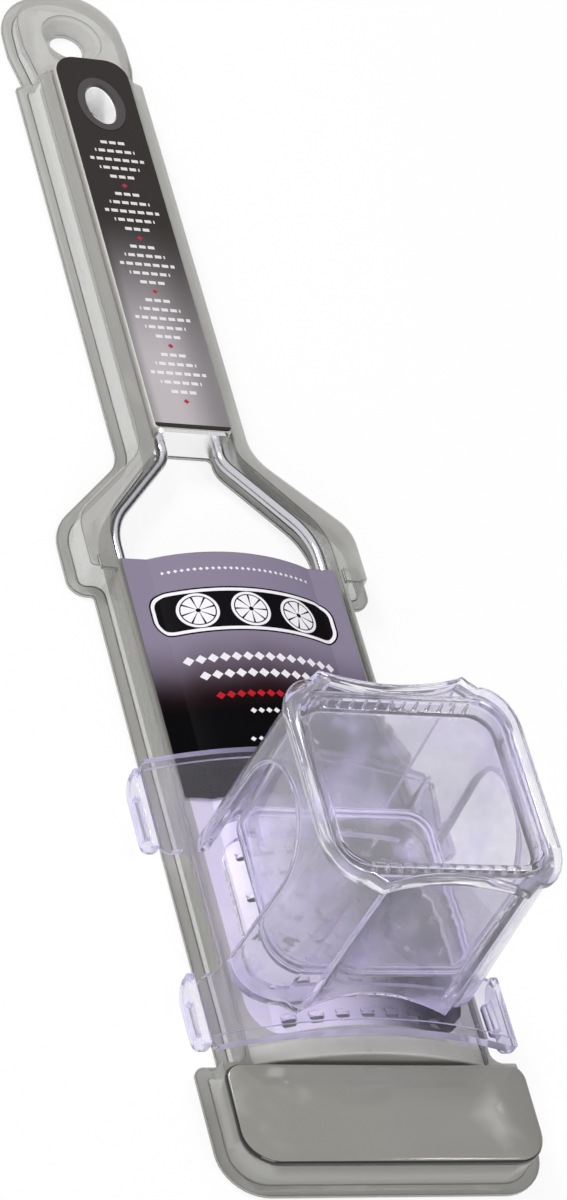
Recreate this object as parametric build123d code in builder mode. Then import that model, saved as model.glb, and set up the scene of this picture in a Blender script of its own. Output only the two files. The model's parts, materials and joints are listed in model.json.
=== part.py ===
"""Wide rasp zester lying in its clear carrier tray, with a sliding food holder.

The face of the blade looks up (+Z), the handle points along +Y and the toe
along -Y. The tray stands on its flange at Z = 0, and the origin is the middle
of the tray's underside.
"""

import os
from math import cos, radians

from build123d import *

# Carrier tray, its sheet and walls
flange_thickness = 1.0
flange_width = 2.6
wall_inset = 0.4
bevel_depth = 0.6
bevel_run = 0.4
tray_height = 8.4
head_height = 5.0
small_corner = 0.9
tray_clearance = 0.45
floor_clearance = 0.3

# End block of the tray
block_length = 25.0
block_rise_back = 6.6
block_rise_front = 2.9
block_wall = 1.2
block_corner = 3.0
block_back = flange_width + block_length
block_crest_back = tray_height + block_rise_back
block_crest_front = tray_height + block_rise_front

# Rods, in section
rod_radius = 1.4
rod_blade_offset = 26.6
rod_cover = 0.5
rod_fit = 0.05

# Blade
blade_length = 136.6
sheet_thickness = 0.6
blade_recess = 1.2
arch_half = 21.0
arch_rise = 4.6
lip_thickness = 0.5
lip_clearance = 0.05
lip_depth = 3.0
tooth_pitch = 5.9
row_pitch = 5.6
tooth_margin = 3.2
tooth_width = 3.2
tooth_gap = 1.5
tooth_lip = 0.6
tooth_height = 0.5
first_row = 5.0
wing_top = tray_height - blade_recess
wing_half = rod_blade_offset + rod_radius + lip_clearance + lip_thickness
rod_z = wing_top - sheet_thickness - rod_radius
tooth_columns = int(2 * (arch_half - tooth_margin) / tooth_pitch) + 1
tooth_rows = int((blade_length - 2 * first_row) / row_pitch) + 1

# Toe
toe_gap = 1.3
toe_length = 4.6
toe_wall = 0.5
toe_pad_thickness = 1.0
toe_pad_inset = 4.0
toe_pad_margin = 0.6
toe_corner = 1.2
toe_start = block_back + toe_gap
blade_start = toe_start + toe_length
blade_end = blade_start + blade_length

# Rods, their bends along the tray
rod_straight = 11.6
rod_bend_run = 22.0
rod_neck = 5.9
rod_shoulder_radius = 18.0
rod_throat_radius = 7.0
rod_tang = 38.0
rod_bend_start = blade_end + rod_straight
rod_bend_end = rod_bend_start + rod_bend_run

# Handle
handle_length = 126.4
handle_half = 10.4
handle_stand = 1.5
handle_corner = 6.4
handle_front_corner = 1.0
handle_edge = 0.6
handle_wall = 0.8
collar_length = 1.2
collar_corner = 1.4
tang_clearance = 0.05
tang_block_length = 34.0
eyelet_fit = 0.05
card_thickness = 0.3
card_margin = 0.1
eyelet_from_end = 16.9
eyelet_hole_half_width = 3.9
eyelet_hole_half_length = 6.8
eyelet_wall = 1.1
eyelet_brim = 1.4
eyelet_brim_height = 0.5
eyelet_dish = 0.35
handle_top = tray_height + handle_stand
handle_start = rod_bend_end + rod_neck
handle_end = handle_start + handle_length
rod_handle_offset = handle_half - handle_wall - rod_cover - rod_radius

# Printed card on the blade
blade_card_length = 69.3
blade_card_setback = 0.7
blade_card_margin = 0.85
blade_card_thickness = 0.25
blade_card_end = blade_end - blade_card_setback
blade_card_half = wing_half - blade_card_margin

# Carrier tray, outline round the grater
trough_lip = 0.95
handle_lip = 3.55
end_reach = 6.0
end_ledge = 4.9
end_corner = 11.0
end_step_radius = 2.5
ear_overlap = 6.8
ear_reach = 6.1
ear_length = 20.2
ear_corner = 4.5
ear_shoulder_radius = 14.0
neck_gap = 1.4
neck_radius = 10.0
head_overlap = 4.5
head_length = 35.9
head_inset = 0.3
head_throat_inset = 1.9
head_throat_step = 1.0
head_flank = 11.5
head_flank_radius = 10.0
head_flat = 0.2
wall_run = flange_width + wall_inset + bevel_run
trough_half = rod_blade_offset + rod_radius + lip_thickness + tray_clearance
blade_bay_half = trough_half + trough_lip + wall_run
end_half = blade_bay_half + end_reach
end_section = block_back + end_ledge
ear_half = blade_bay_half + ear_reach
ear_start = blade_end - ear_overlap
ear_shoulder = ear_start + ear_length
neck_start = rod_bend_end + neck_gap
handle_trough_half = handle_half + tray_clearance
handle_bay_half = handle_trough_half + handle_lip + wall_run
handle_bay_end = handle_end - head_overlap
trough_end = handle_end + tray_clearance
head_half = handle_bay_half - head_inset
head_throat_half = head_half - head_throat_inset
head_radius = head_half - head_flat
carrier_length = handle_bay_end + head_length

# Carrier details
hang_hole_radius = 4.6
hang_recess_radius = 8.2
hang_from_end = 19.0
stud_inset = 7.6
stud_side = 4.2
stud_setback = 4.2
stud_height = 0.8
hang_centre = carrier_length - hang_from_end
stud_along = ear_start + stud_setback

# Saddle of the slider
saddle_setback = 5.5
saddle_length = 76.5
saddle_reach = 3.3
saddle_clearance = 0.95
saddle_drop = 7.2
saddle_thickness = 1.8
waist_depth = 5.8
front_band = 18.5
back_band = 25.0
band_corner = 2.5
bead_width = 2.6
bead_height = 0.7
card_crest = wing_top + arch_rise + tooth_height + blade_card_thickness
saddle_start = block_back + saddle_setback
saddle_end = saddle_start + saddle_length
saddle_half = blade_bay_half + saddle_reach
saddle_waist_half = saddle_half - waist_depth
saddle_crest = card_crest + saddle_clearance + saddle_thickness
saddle_side = saddle_crest - saddle_drop

# Clips at the saddle's corners
clip_thickness = 2.1
clip_overhang = 0.4
clip_corner = 5.0
clip_lip = 2.2
clip_lip_gap = 0.5
clip_lip_height = 1.8
front_clip_length = 18.5
back_clip_length = 21.5
clip_drop = 0.6
clip_bottom = flange_thickness - clip_overhang
clip_lip_bottom = flange_thickness + clip_lip_gap
clip_top = saddle_side - clip_drop

# Hopper of the slider
hopper_setback = 33.25
hopper_rise = 0.5
hopper_height = 51.4
hopper_wall = 2.0
base_margin = 0.8
base_tip_half = 18.4
base_tip_reach = 28.2
base_sag = 4.2
side_draft = 2.6
tip_draft = 1.1
tip_lean = 0.4
top_sag = 3.0
shoulder_rise = 2.6
shoulder_run = 3.1
shoulder_drop = 10.9
diagonal_share = cos(radians(45))
food_side = 5.5
food_end = 4.5
food_corner = 6.0
window_offset = 2.0
window_half = 14.5
window_head = 6.0
rim_thickness = 2.4
rim_overhang = 1.4
rim_ledge = 0.8
hopper_centre = saddle_start + hopper_setback
hopper_base = saddle_side + hopper_rise
hopper_top = hopper_base + hopper_height
base_half = saddle_waist_half - base_margin
top_half = base_half - side_draft
top_tip_half = base_tip_half - tip_draft
top_tip_reach = base_tip_reach + tip_lean
food_half_width = base_half - food_side
food_half_length = base_tip_reach - base_sag - food_end
window_spring = hopper_top - window_head - window_half

# Pusher
pusher_gap = 0.3
pusher_end_gap = 0.6
pusher_seat = 0.1
pusher_rest_gap = 6.7
brim_side = 0.8
brim_end = 0.6
pusher_taper_width = 0.3
pusher_taper_length = 1.1
pusher_corner = 7.5
pusher_wall = 1.3
recess_depth = 3.6
panel_thickness = 1.3
plate_thickness = 1.6
plate_inset = 0.2
plate_rib = 1.3
plate_fit = 0.05
prong_radius = 0.7
prong_length = 2.4
prong_spacing = 9.0
prong_columns = 5
prong_rows = 4
pusher_half_width = top_half - hopper_wall - pusher_gap
pusher_half_length = top_tip_reach - top_sag - hopper_wall - pusher_end_gap
brim_half_width = pusher_half_width + brim_side
brim_half_length = pusher_half_length + brim_end
pusher_bottom = saddle_crest + pusher_rest_gap

# One overrun for every cut
overrun = 5.0

# Shared places
front_y = -carrier_length / 2
floor_top = flange_thickness
grater_bottom = floor_top + floor_clearance


def along(distance):
    """Y of a place given as its distance from the tray's front end."""
    return front_y + distance


def inset_corners(points, inset):
    """Move the sides of half an outline inwards; its two ends stay on X = 0."""
    moved = []
    for index, point in enumerate(points):
        here = Vector(*point)
        before = Vector(*points[index - 1]) if index else Vector(-here.X - end_half, here.Y)
        last = index == len(points) - 1
        after = Vector(-here.X - end_half, here.Y) if last else Vector(*points[index + 1])
        into = (here - before).normalized()
        out = (after - here).normalized()
        left_in = Vector(-into.Y, into.X)
        left_out = Vector(-out.Y, out.X)
        bisector = (left_in + left_out).normalized()
        step = inset / bisector.dot(left_in)
        corner = here + bisector * step
        moved.append((0.0 if index == 0 or last else corner.X, corner.Y))
    return moved


def fillet_sizes(corners, inset):
    """Corner radii after an inset, between the flange's radius and the wall's."""
    depth = inset / flange_width
    return [edge + (wall - edge) * depth for edge, wall in corners]


tray_points = [
    (0.0, along(0)),
    (end_half, along(0)),
    (end_half, along(end_section)),
    (blade_bay_half, along(end_section)),
    (blade_bay_half, along(ear_start)),
    (ear_half, along(ear_start)),
    (ear_half, along(ear_shoulder)),
    (handle_bay_half, along(neck_start)),
    (handle_bay_half, along(handle_bay_end)),
    (head_throat_half, along(handle_bay_end + head_throat_step)),
    (head_half, along(handle_bay_end + head_flank)),
    (head_half, along(carrier_length)),
    (0.0, along(carrier_length)),
]
tray_corners = [
    (end_corner, end_corner - flange_width),
    (end_step_radius, small_corner),
    (small_corner, end_step_radius),
    (small_corner, end_step_radius),
    (ear_corner, ear_corner - flange_width),
    (ear_shoulder_radius, ear_shoulder_radius - flange_width),
    (neck_radius, neck_radius + flange_width),
    (small_corner, small_corner),
    (small_corner, small_corner),
    (head_flank_radius, head_flank_radius - flange_width),
    (head_radius, head_radius - flange_width),
]


def tray_outline(inset):
    """Closed outline of the tray, drawn inside a BuildSketch."""
    with BuildLine() as outline:
        FilletPolyline(*inset_corners(tray_points, inset), radius=fillet_sizes(tray_corners, inset))
        mirror(about=Plane.YZ)
    make_face(outline.edges())


def block_outline(inset):
    """Outline of the end block, drawn inside a BuildSketch."""
    half = end_half - flange_width - inset
    front = flange_width + inset
    with BuildLine() as outline:
        FilletPolyline(
            (0.0, along(front)),
            (half, along(front)),
            (half, along(block_back - inset)),
            (0.0, along(block_back - inset)),
            radius=[end_corner - front, block_corner],
        )
        mirror(about=Plane.YZ)
    make_face(outline.edges())


def arch_profile(half, side, crest, base):
    """Area under an arch, drawn in a sketch on an XZ plane."""
    with BuildLine() as outline:
        ThreePointArc((-half, side), (0.0, crest), (half, side))
        Polyline((half, side), (half, base), (-half, base), (-half, side))
    make_face(outline.edges())


def xz_plane(distance):
    """Plane across the tray whose sketch X is +X and sketch Y is +Z, facing the toe."""
    return Plane(origin=(0, along(distance), 0), x_dir=(1, 0, 0), z_dir=(0, -1, 0))


with BuildPart() as end_block:
    with BuildSketch(Plane.XY):
        block_outline(0)
    with BuildSketch(Plane.XY.offset(block_crest_back)):
        block_outline(wall_inset)
    loft(ruled=True)
    with BuildSketch(xz_plane(0)):
        arch_profile(end_half, tray_height, block_crest_front, 0)
    with BuildSketch(xz_plane(block_back)):
        arch_profile(end_half, tray_height, block_crest_back, 0)
    loft(ruled=True, mode=Mode.INTERSECT)

with BuildPart() as block_hollow:
    with BuildSketch(Plane.XY.offset(-overrun)):
        block_outline(block_wall)
    with BuildSketch(Plane.XY.offset(block_crest_back)):
        block_outline(block_wall + wall_inset)
    loft(ruled=True)
    with BuildSketch(xz_plane(0)):
        arch_profile(end_half, tray_height - block_wall, block_crest_front - block_wall, -overrun)
    with BuildSketch(xz_plane(block_back)):
        arch_profile(end_half, tray_height - block_wall, block_crest_back - block_wall, -overrun)
    loft(ruled=True, mode=Mode.INTERSECT)

with BuildPart() as carrier_tray:
    with BuildSketch(Plane.XY):
        tray_outline(0)
    extrude(amount=flange_thickness)
    with BuildSketch(Plane.XY):
        tray_outline(flange_width)
    with BuildSketch(Plane.XY.offset(tray_height - bevel_depth)):
        tray_outline(flange_width + wall_inset)
    loft(ruled=True)
    with BuildSketch(Plane.XY.offset(tray_height - bevel_depth)):
        tray_outline(flange_width + wall_inset)
    with BuildSketch(Plane.XY.offset(tray_height)):
        tray_outline(flange_width + wall_inset + bevel_run)
    loft(ruled=True)
    with BuildSketch(Plane.XY.offset(head_height)):
        with Locations((0, along(handle_bay_end + carrier_length / 2))):
            Rectangle(2 * end_half, carrier_length)
    extrude(amount=tray_height, mode=Mode.SUBTRACT)
    add(end_block.part)
    add(block_hollow.part, mode=Mode.SUBTRACT)
    with BuildSketch(Plane.XY.offset(floor_top)):
        with BuildLine():
            FilletPolyline(
                (0.0, along(toe_start - tray_clearance)),
                (trough_half, along(toe_start - tray_clearance)),
                (trough_half, along(rod_bend_start)),
                (handle_trough_half, along(rod_bend_end)),
                (handle_trough_half, along(trough_end)),
                (0.0, along(trough_end)),
                radius=[toe_corner, rod_shoulder_radius, rod_throat_radius, handle_corner],
            )
            mirror(about=Plane.YZ)
        make_face()
    extrude(amount=tray_height, mode=Mode.SUBTRACT)
    with BuildSketch(Plane.XY):
        with BuildLine():
            FilletPolyline(
                (0.0, along(blade_end + rod_radius)),
                (rod_blade_offset, along(blade_end + rod_radius)),
                (rod_blade_offset, along(rod_bend_start)),
                (rod_handle_offset, along(rod_bend_end)),
                (rod_handle_offset, along(handle_start - collar_length)),
                (0.0, along(handle_start - collar_length)),
                radius=[rod_radius, rod_shoulder_radius, rod_throat_radius, rod_radius],
            )
            mirror(about=Plane.YZ)
        make_face()
        with Locations((0, along(handle_end - eyelet_from_end))):
            Ellipse(eyelet_hole_half_width + eyelet_wall, eyelet_hole_half_length + eyelet_wall)
        with Locations((0, along(hang_centre))):
            Circle(hang_hole_radius)
    extrude(amount=head_height, mode=Mode.SUBTRACT)
    with BuildSketch(Plane.XY.offset(flange_thickness)):
        with Locations((0, along(hang_centre))):
            Circle(hang_hole_radius)
    with BuildSketch(Plane.XY.offset(head_height)):
        with Locations((0, along(hang_centre))):
            Circle(hang_recess_radius)
    loft(mode=Mode.SUBTRACT)
    with BuildSketch(Plane.XY.offset(tray_height)):
        with Locations(
            (ear_half - stud_inset, along(stud_along)), (stud_inset - ear_half, along(stud_along))
        ):
            Rectangle(stud_side, stud_side)
    extrude(amount=stud_height, taper=10)
carrier_tray.part.label = "carrier_tray"


def rod(side):
    """One bent wire of the frame, from the toe to the end of its tang."""
    with BuildPart() as wire:
        with BuildLine(Plane.XY.offset(rod_z)) as path:
            FilletPolyline(
                (side * rod_blade_offset, along(toe_start + toe_wall)),
                (side * rod_blade_offset, along(rod_bend_start)),
                (side * rod_handle_offset, along(rod_bend_end)),
                (side * rod_handle_offset, along(handle_start + rod_tang)),
                radius=[rod_shoulder_radius, rod_throat_radius],
            )
        with BuildSketch(Plane(path.line @ 0, z_dir=path.line % 0)):
            Circle(rod_radius)
        sweep()
    return wire


left_rod = rod(-1)
left_rod.part.label = "frame_rod_left"
right_rod = rod(1)
right_rod.part.label = "frame_rod_right"


def blade_section(lift, thickness, half):
    """Wings and arch of the blade as one band, drawn in a sketch on an XZ plane."""
    low = wing_top - sheet_thickness + lift
    high = low + thickness
    with BuildLine() as outline:
        Line((-half, low), (-arch_half, low))
        ThreePointArc((-arch_half, low), (0.0, low + arch_rise), (arch_half, low))
        Line((arch_half, low), (half, low))
        Line((half, low), (half, high))
        Line((half, high), (arch_half, high))
        ThreePointArc((arch_half, high), (0.0, high + arch_rise), (-arch_half, high))
        Line((-arch_half, high), (-half, high))
        Line((-half, high), (-half, low))
    make_face(outline.edges())


tooth_places = []
for row in range(tooth_rows):
    shift = 0.5 * tooth_pitch * (row % 2)
    columns = tooth_columns - row % 2
    for column in range(columns):
        tooth_x = (column - (tooth_columns - 1) / 2) * tooth_pitch + shift
        tooth_places.append((tooth_x, along(blade_start + first_row + row * row_pitch)))

with BuildPart() as teeth:
    with BuildSketch(xz_plane(blade_end)):
        blade_section(sheet_thickness / 2, sheet_thickness / 2 + tooth_height, wing_half)
    extrude(amount=blade_length)
    with BuildSketch(Plane.XY):
        with Locations(*[(x, y + (tooth_gap + tooth_lip) / 2) for x, y in tooth_places]):
            Rectangle(tooth_width, tooth_lip)
    extrude(amount=wing_top + arch_rise + overrun, mode=Mode.INTERSECT)

with BuildPart() as blade:
    with BuildSketch(xz_plane(blade_end)):
        blade_section(0, sheet_thickness, wing_half)
        for side in (-1, 1):
            with Locations((side * (wing_half - lip_thickness / 2), wing_top - lip_depth / 2)):
                Rectangle(lip_thickness, lip_depth)
    extrude(amount=blade_length)
    with BuildSketch(Plane.XY):
        with Locations(*tooth_places):
            SlotOverall(tooth_width, tooth_gap)
    extrude(amount=wing_top + arch_rise + overrun, mode=Mode.SUBTRACT)
    add(teeth.part)
blade.part.label = "blade"

with BuildPart() as blade_card:
    with BuildSketch(xz_plane(blade_card_end)):
        blade_section(sheet_thickness + tooth_height, blade_card_thickness, blade_card_half)
    extrude(amount=blade_card_length)
blade_card.part.label = "blade_card"

with BuildPart() as toe_bar:
    with BuildSketch(xz_plane(blade_start)):
        toe_bottom = grater_bottom + toe_pad_thickness
        arch_profile(wing_half, wing_top, wing_top + arch_rise + toe_wall, toe_bottom)
    extrude(amount=toe_length)
    with BuildSketch(xz_plane(blade_start)):
        with Locations((-rod_blade_offset, rod_z), (rod_blade_offset, rod_z)):
            Circle(rod_radius + rod_fit)
    extrude(amount=toe_length - toe_wall, mode=Mode.SUBTRACT)
    front_edges = toe_bar.edges().group_by(Axis.Y)[0]
    fillet(front_edges.sort_by(Axis.Z)[-1], toe_wall)
toe_bar.part.label = "toe_bar"

with BuildPart() as toe_pad:
    with BuildSketch(Plane.XY.offset(grater_bottom)):
        with Locations((0, along(toe_start + toe_length / 2))):
            RectangleRounded(
                2 * (wing_half - toe_pad_inset), toe_length - 2 * toe_pad_margin, toe_corner
            )
    extrude(amount=toe_pad_thickness)
toe_pad.part.label = "toe_pad"


def handle_outline(inset):
    """Plan of the handle's shells, drawn inside a BuildSketch."""
    half = handle_half - inset
    start = along(handle_start + inset)
    end = along(handle_end - inset)
    with BuildLine() as outline:
        FilletPolyline(
            (0.0, start),
            (half, start),
            (half, end),
            (0.0, end),
            radius=[handle_front_corner, handle_corner - inset],
        )
        mirror(about=Plane.YZ)
    make_face(outline.edges())


eyelet_y = along(handle_end - eyelet_from_end)
tang_start = handle_start + handle_wall + tang_clearance
tang_half = handle_half - handle_wall - tang_clearance
tang_bottom = grater_bottom + handle_wall
tang_block_height = handle_top - handle_wall - tang_bottom


def rod_passage(start, length):
    """Cut both rod holes with their fit from one place along the tray."""
    with BuildSketch(xz_plane(start)) as holes:
        with Locations((-rod_handle_offset, rod_z), (rod_handle_offset, rod_z)):
            Circle(rod_radius + rod_fit)
    extrude(holes.sketch, amount=-length, mode=Mode.SUBTRACT)


def eyelet_passage(bottom, height):
    """Cut the oval seat of the hanging eyelet."""
    with BuildSketch(Plane.XY.offset(bottom)) as oval:
        with Locations((0, eyelet_y)):
            Ellipse(eyelet_hole_half_width + eyelet_wall, eyelet_hole_half_length + eyelet_wall)
    extrude(oval.sketch, amount=height, mode=Mode.SUBTRACT)


with BuildPart() as lower_shell:
    with BuildSketch(Plane.XY.offset(grater_bottom)):
        handle_outline(0)
    extrude(amount=rod_z - grater_bottom)
    fillet(lower_shell.edges().group_by(Axis.Z)[0], handle_edge)
    with BuildSketch(Plane.XY.offset(grater_bottom + handle_wall)):
        handle_outline(handle_wall)
    extrude(amount=rod_z, mode=Mode.SUBTRACT)
    with BuildSketch(Plane.XY.offset(grater_bottom)):
        with Locations((0, eyelet_y)):
            Ellipse(
                eyelet_hole_half_width + eyelet_wall + handle_wall,
                eyelet_hole_half_length + eyelet_wall + handle_wall,
            )
    extrude(amount=rod_z - grater_bottom)
    rod_passage(handle_start, handle_wall)
    eyelet_passage(grater_bottom, rod_z)
lower_shell.part.label = "handle_lower_shell"

with BuildPart() as upper_shell:
    with BuildSketch(Plane.XY.offset(rod_z)):
        handle_outline(0)
    extrude(amount=handle_top - rod_z)
    fillet(upper_shell.edges().group_by(Axis.Z)[-1], handle_edge)
    with BuildSketch(Plane.XY.offset(rod_z)):
        handle_outline(handle_wall)
    extrude(amount=handle_top - handle_wall - rod_z, mode=Mode.SUBTRACT)
    with BuildSketch(Plane.XY.offset(rod_z)):
        with Locations((0, eyelet_y)):
            Ellipse(
                eyelet_hole_half_width + eyelet_wall + handle_wall,
                eyelet_hole_half_length + eyelet_wall + handle_wall,
            )
    extrude(amount=handle_top - rod_z)
    rod_passage(handle_start, handle_wall)
    eyelet_passage(rod_z, handle_top)
upper_shell.part.label = "handle_upper_shell"

with BuildPart() as collar:
    with BuildSketch(xz_plane(handle_start)):
        with Locations((0, (grater_bottom + handle_top) / 2)):
            RectangleRounded(
                2 * (handle_half - handle_wall), handle_top - grater_bottom, collar_corner
            )
        with Locations((-rod_handle_offset, rod_z), (rod_handle_offset, rod_z)):
            Circle(rod_radius + rod_fit, mode=Mode.SUBTRACT)
    extrude(amount=collar_length)
collar.part.label = "handle_collar"

with BuildPart() as tang_block:
    with BuildSketch(Plane.XY.offset(tang_bottom)):
        with Locations((0, along(tang_start + tang_block_length / 2))):
            RectangleRounded(2 * tang_half, tang_block_length, handle_front_corner)
    extrude(amount=tang_block_height)
    rod_passage(tang_start, tang_block_length)
tang_block.part.label = "tang_block"

with BuildPart() as handle_card:
    with BuildSketch(Plane.XY.offset(handle_top)):
        handle_outline(card_margin + handle_edge / 2)
        with Locations((0, eyelet_y)):
            Ellipse(
                eyelet_hole_half_width + eyelet_wall + eyelet_brim + eyelet_fit,
                eyelet_hole_half_length + eyelet_wall + eyelet_brim + eyelet_fit,
                mode=Mode.SUBTRACT,
            )
    extrude(amount=card_thickness)
handle_card.part.label = "handle_card"

with BuildPart() as eyelet:
    with BuildSketch(Plane.XY.offset(grater_bottom)):
        with Locations((0, eyelet_y)):
            Ellipse(
                eyelet_hole_half_width + eyelet_wall - rod_fit,
                eyelet_hole_half_length + eyelet_wall - rod_fit,
            )
    extrude(amount=handle_top - grater_bottom)
    with BuildSketch(Plane.XY.offset(handle_top)):
        with Locations((0, eyelet_y)):
            Ellipse(
                eyelet_hole_half_width + eyelet_wall + eyelet_brim,
                eyelet_hole_half_length + eyelet_wall + eyelet_brim,
            )
    extrude(amount=eyelet_brim_height)
    with BuildSketch(Plane.XY.offset(grater_bottom)):
        with Locations((0, eyelet_y)):
            Ellipse(eyelet_hole_half_width, eyelet_hole_half_length)
    extrude(amount=handle_top, mode=Mode.SUBTRACT)
    brim_edges = eyelet.edges().group_by(Axis.Z)[-1]
    chamfer(brim_edges.sort_by(Edge.length)[0], eyelet_dish, eyelet_brim)
eyelet.part.label = "hanging_eyelet"


def saddle_band(lift, thickness):
    """Arched band of the saddle, drawn in a sketch on an XZ plane."""
    side = saddle_side + lift
    crest = saddle_crest + lift
    with BuildLine() as outline:
        ThreePointArc((-saddle_half, side), (0.0, crest), (saddle_half, side))
        Line((saddle_half, side), (saddle_half, side - thickness))
        ThreePointArc(
            (saddle_half, side - thickness), (0.0, crest - thickness), (-saddle_half, side - thickness)
        )
        Line((-saddle_half, side - thickness), (-saddle_half, side))
    make_face(outline.edges())


with BuildPart() as saddle:
    with BuildSketch(xz_plane(saddle_end)):
        saddle_band(0, saddle_thickness)
    extrude(amount=saddle_length)
    with BuildSketch(Plane.XY):
        with BuildLine():
            FilletPolyline(
                (0.0, along(saddle_start)),
                (saddle_half, along(saddle_start)),
                (saddle_half, along(saddle_start + front_band)),
                (saddle_waist_half, along(saddle_start + front_band)),
                (saddle_waist_half, along(saddle_end - back_band)),
                (saddle_half, along(saddle_end - back_band)),
                (saddle_half, along(saddle_end)),
                (0.0, along(saddle_end)),
                radius=[band_corner / 2, band_corner, band_corner, band_corner, band_corner, band_corner / 2],
            )
            mirror(about=Plane.YZ)
        make_face()
        with Locations((0, along(hopper_centre))):
            RectangleRounded(2 * food_half_width, 2 * food_half_length, food_corner, mode=Mode.SUBTRACT)
    extrude(amount=saddle_crest + overrun, mode=Mode.INTERSECT)
    for bead_end in (saddle_start + bead_width, saddle_end):
        with BuildSketch(xz_plane(bead_end)):
            saddle_band(bead_height, bead_height)
        extrude(amount=bead_width)
saddle.part.label = "saddle"

clips = {
    "clip_front_left": (-1, saddle_start + bead_width / 2, front_clip_length),
    "clip_front_right": (1, saddle_start + bead_width / 2, front_clip_length),
    "clip_back_left": (-1, saddle_end - bead_width / 2 - back_clip_length, back_clip_length),
    "clip_back_right": (1, saddle_end - bead_width / 2 - back_clip_length, back_clip_length),
}


def edge_clip(side, start, length):
    """One clip that hangs from the saddle's edge, with a rounded foot and an inner lip."""
    with BuildPart() as clip:
        inner = side * saddle_half
        plate = Plane(origin=(inner, 0, 0), x_dir=(0, 1, 0), z_dir=(1, 0, 0))
        with BuildSketch(plate):
            with BuildLine():
                FilletPolyline(
                    (along(start), clip_top),
                    (along(start), clip_bottom),
                    (along(start + length), clip_bottom),
                    (along(start + length), clip_top),
                    close=True,
                    radius=[0, clip_corner, clip_corner, 0],
                )
            make_face()
        extrude(amount=side * clip_thickness)
        with BuildSketch(plate):
            with Locations((along(start + length / 2), clip_lip_bottom + clip_lip_height / 2)):
                Rectangle(length - 2 * clip_corner, clip_lip_height)
        extrude(amount=-side * clip_lip, taper=8)
        outer_rim = clip.faces().sort_by(Axis.X)[-1 if side > 0 else 0].edges()
        fillet(outer_rim, clip_thickness / 3)
    return clip


clip_parts = {}
for clip_name, (clip_side, clip_start, clip_length) in clips.items():
    clip_parts[clip_name] = edge_clip(clip_side, clip_start, clip_length)
    clip_parts[clip_name].part.label = clip_name


def hopper_outline(half, tip_half, tip_reach, sag):
    """Hopper's plan: straight sides, round shoulders, and hollow front and back."""
    middle_y = along(hopper_centre)
    shoulder_x = tip_half + shoulder_run
    shoulder_y = tip_reach - shoulder_rise
    side_y = shoulder_y - shoulder_drop
    bend_x = shoulder_x + (half - shoulder_x) * diagonal_share
    bend_y = side_y + shoulder_drop * diagonal_share
    with BuildLine() as outline:
        for end in (-1, 1):
            ThreePointArc(
                (-tip_half, middle_y + end * tip_reach),
                (0.0, middle_y + end * (tip_reach - sag)),
                (tip_half, middle_y + end * tip_reach),
            )
            for side in (-1, 1):
                tip = (side * tip_half, middle_y + end * tip_reach)
                shoulder = (side * shoulder_x, middle_y + end * shoulder_y)
                bend = (side * bend_x, middle_y + end * bend_y)
                flank = (side * half, middle_y + end * side_y)
                Line(tip, shoulder)
                ThreePointArc(shoulder, bend, flank)
        for side in (-1, 1):
            Line((side * half, middle_y - side_y), (side * half, middle_y + side_y))
    make_face(outline.edges())


with BuildPart() as hopper:
    with BuildSketch(Plane.XY.offset(hopper_base)):
        hopper_outline(base_half, base_tip_half, base_tip_reach, base_sag)
    with BuildSketch(Plane.XY.offset(hopper_top)):
        hopper_outline(top_half, top_tip_half, top_tip_reach, top_sag)
    loft(ruled=True)
    with BuildSketch(Plane.XY.offset(hopper_base)):
        hopper_outline(
            base_half - hopper_wall,
            base_tip_half - hopper_wall,
            base_tip_reach - hopper_wall,
            base_sag,
        )
    with BuildSketch(Plane.XY.offset(hopper_top)):
        hopper_outline(
            top_half - hopper_wall,
            top_tip_half - hopper_wall,
            top_tip_reach - hopper_wall,
            top_sag,
        )
    loft(ruled=True, mode=Mode.SUBTRACT)
    with BuildSketch(xz_plane(saddle_end)):
        arch_profile(saddle_half, saddle_side, saddle_crest, -overrun)
    extrude(amount=saddle_length, mode=Mode.SUBTRACT)
    with BuildSketch(Plane.YZ.offset(-base_half - overrun)):
        window_y = along(hopper_centre) + window_offset
        with Locations((window_y, window_spring)):
            Circle(window_half)
        with Locations((window_y, window_spring / 2)):
            Rectangle(2 * window_half, window_spring)
    extrude(amount=2 * (base_half + overrun), mode=Mode.SUBTRACT)
hopper.part.label = "hopper"

with BuildPart() as hopper_rim:
    with BuildSketch(Plane.XY.offset(hopper_top)):
        hopper_outline(
            top_half + rim_overhang, top_tip_half, top_tip_reach + rim_overhang / 2, top_sag
        )
    extrude(amount=rim_thickness)
    with BuildSketch(Plane.XY.offset(hopper_top)):
        rim_inset = hopper_wall - rim_ledge
        hopper_outline(
            top_half - rim_inset,
            top_tip_half - rim_inset,
            top_tip_reach - rim_inset,
            top_sag,
        )
    extrude(amount=rim_thickness, mode=Mode.SUBTRACT)
hopper_rim.part.label = "hopper_rim"

pusher_top = hopper_top + rim_thickness


def pusher_outline(inset, taper):
    """Rounded plan of the pusher, drawn inside a BuildSketch."""
    with Locations((0, along(hopper_centre))):
        RectangleRounded(
            2 * (pusher_half_width - inset - pusher_taper_width * taper),
            2 * (pusher_half_length - inset - pusher_taper_length * taper),
            pusher_corner - inset,
        )


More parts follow.
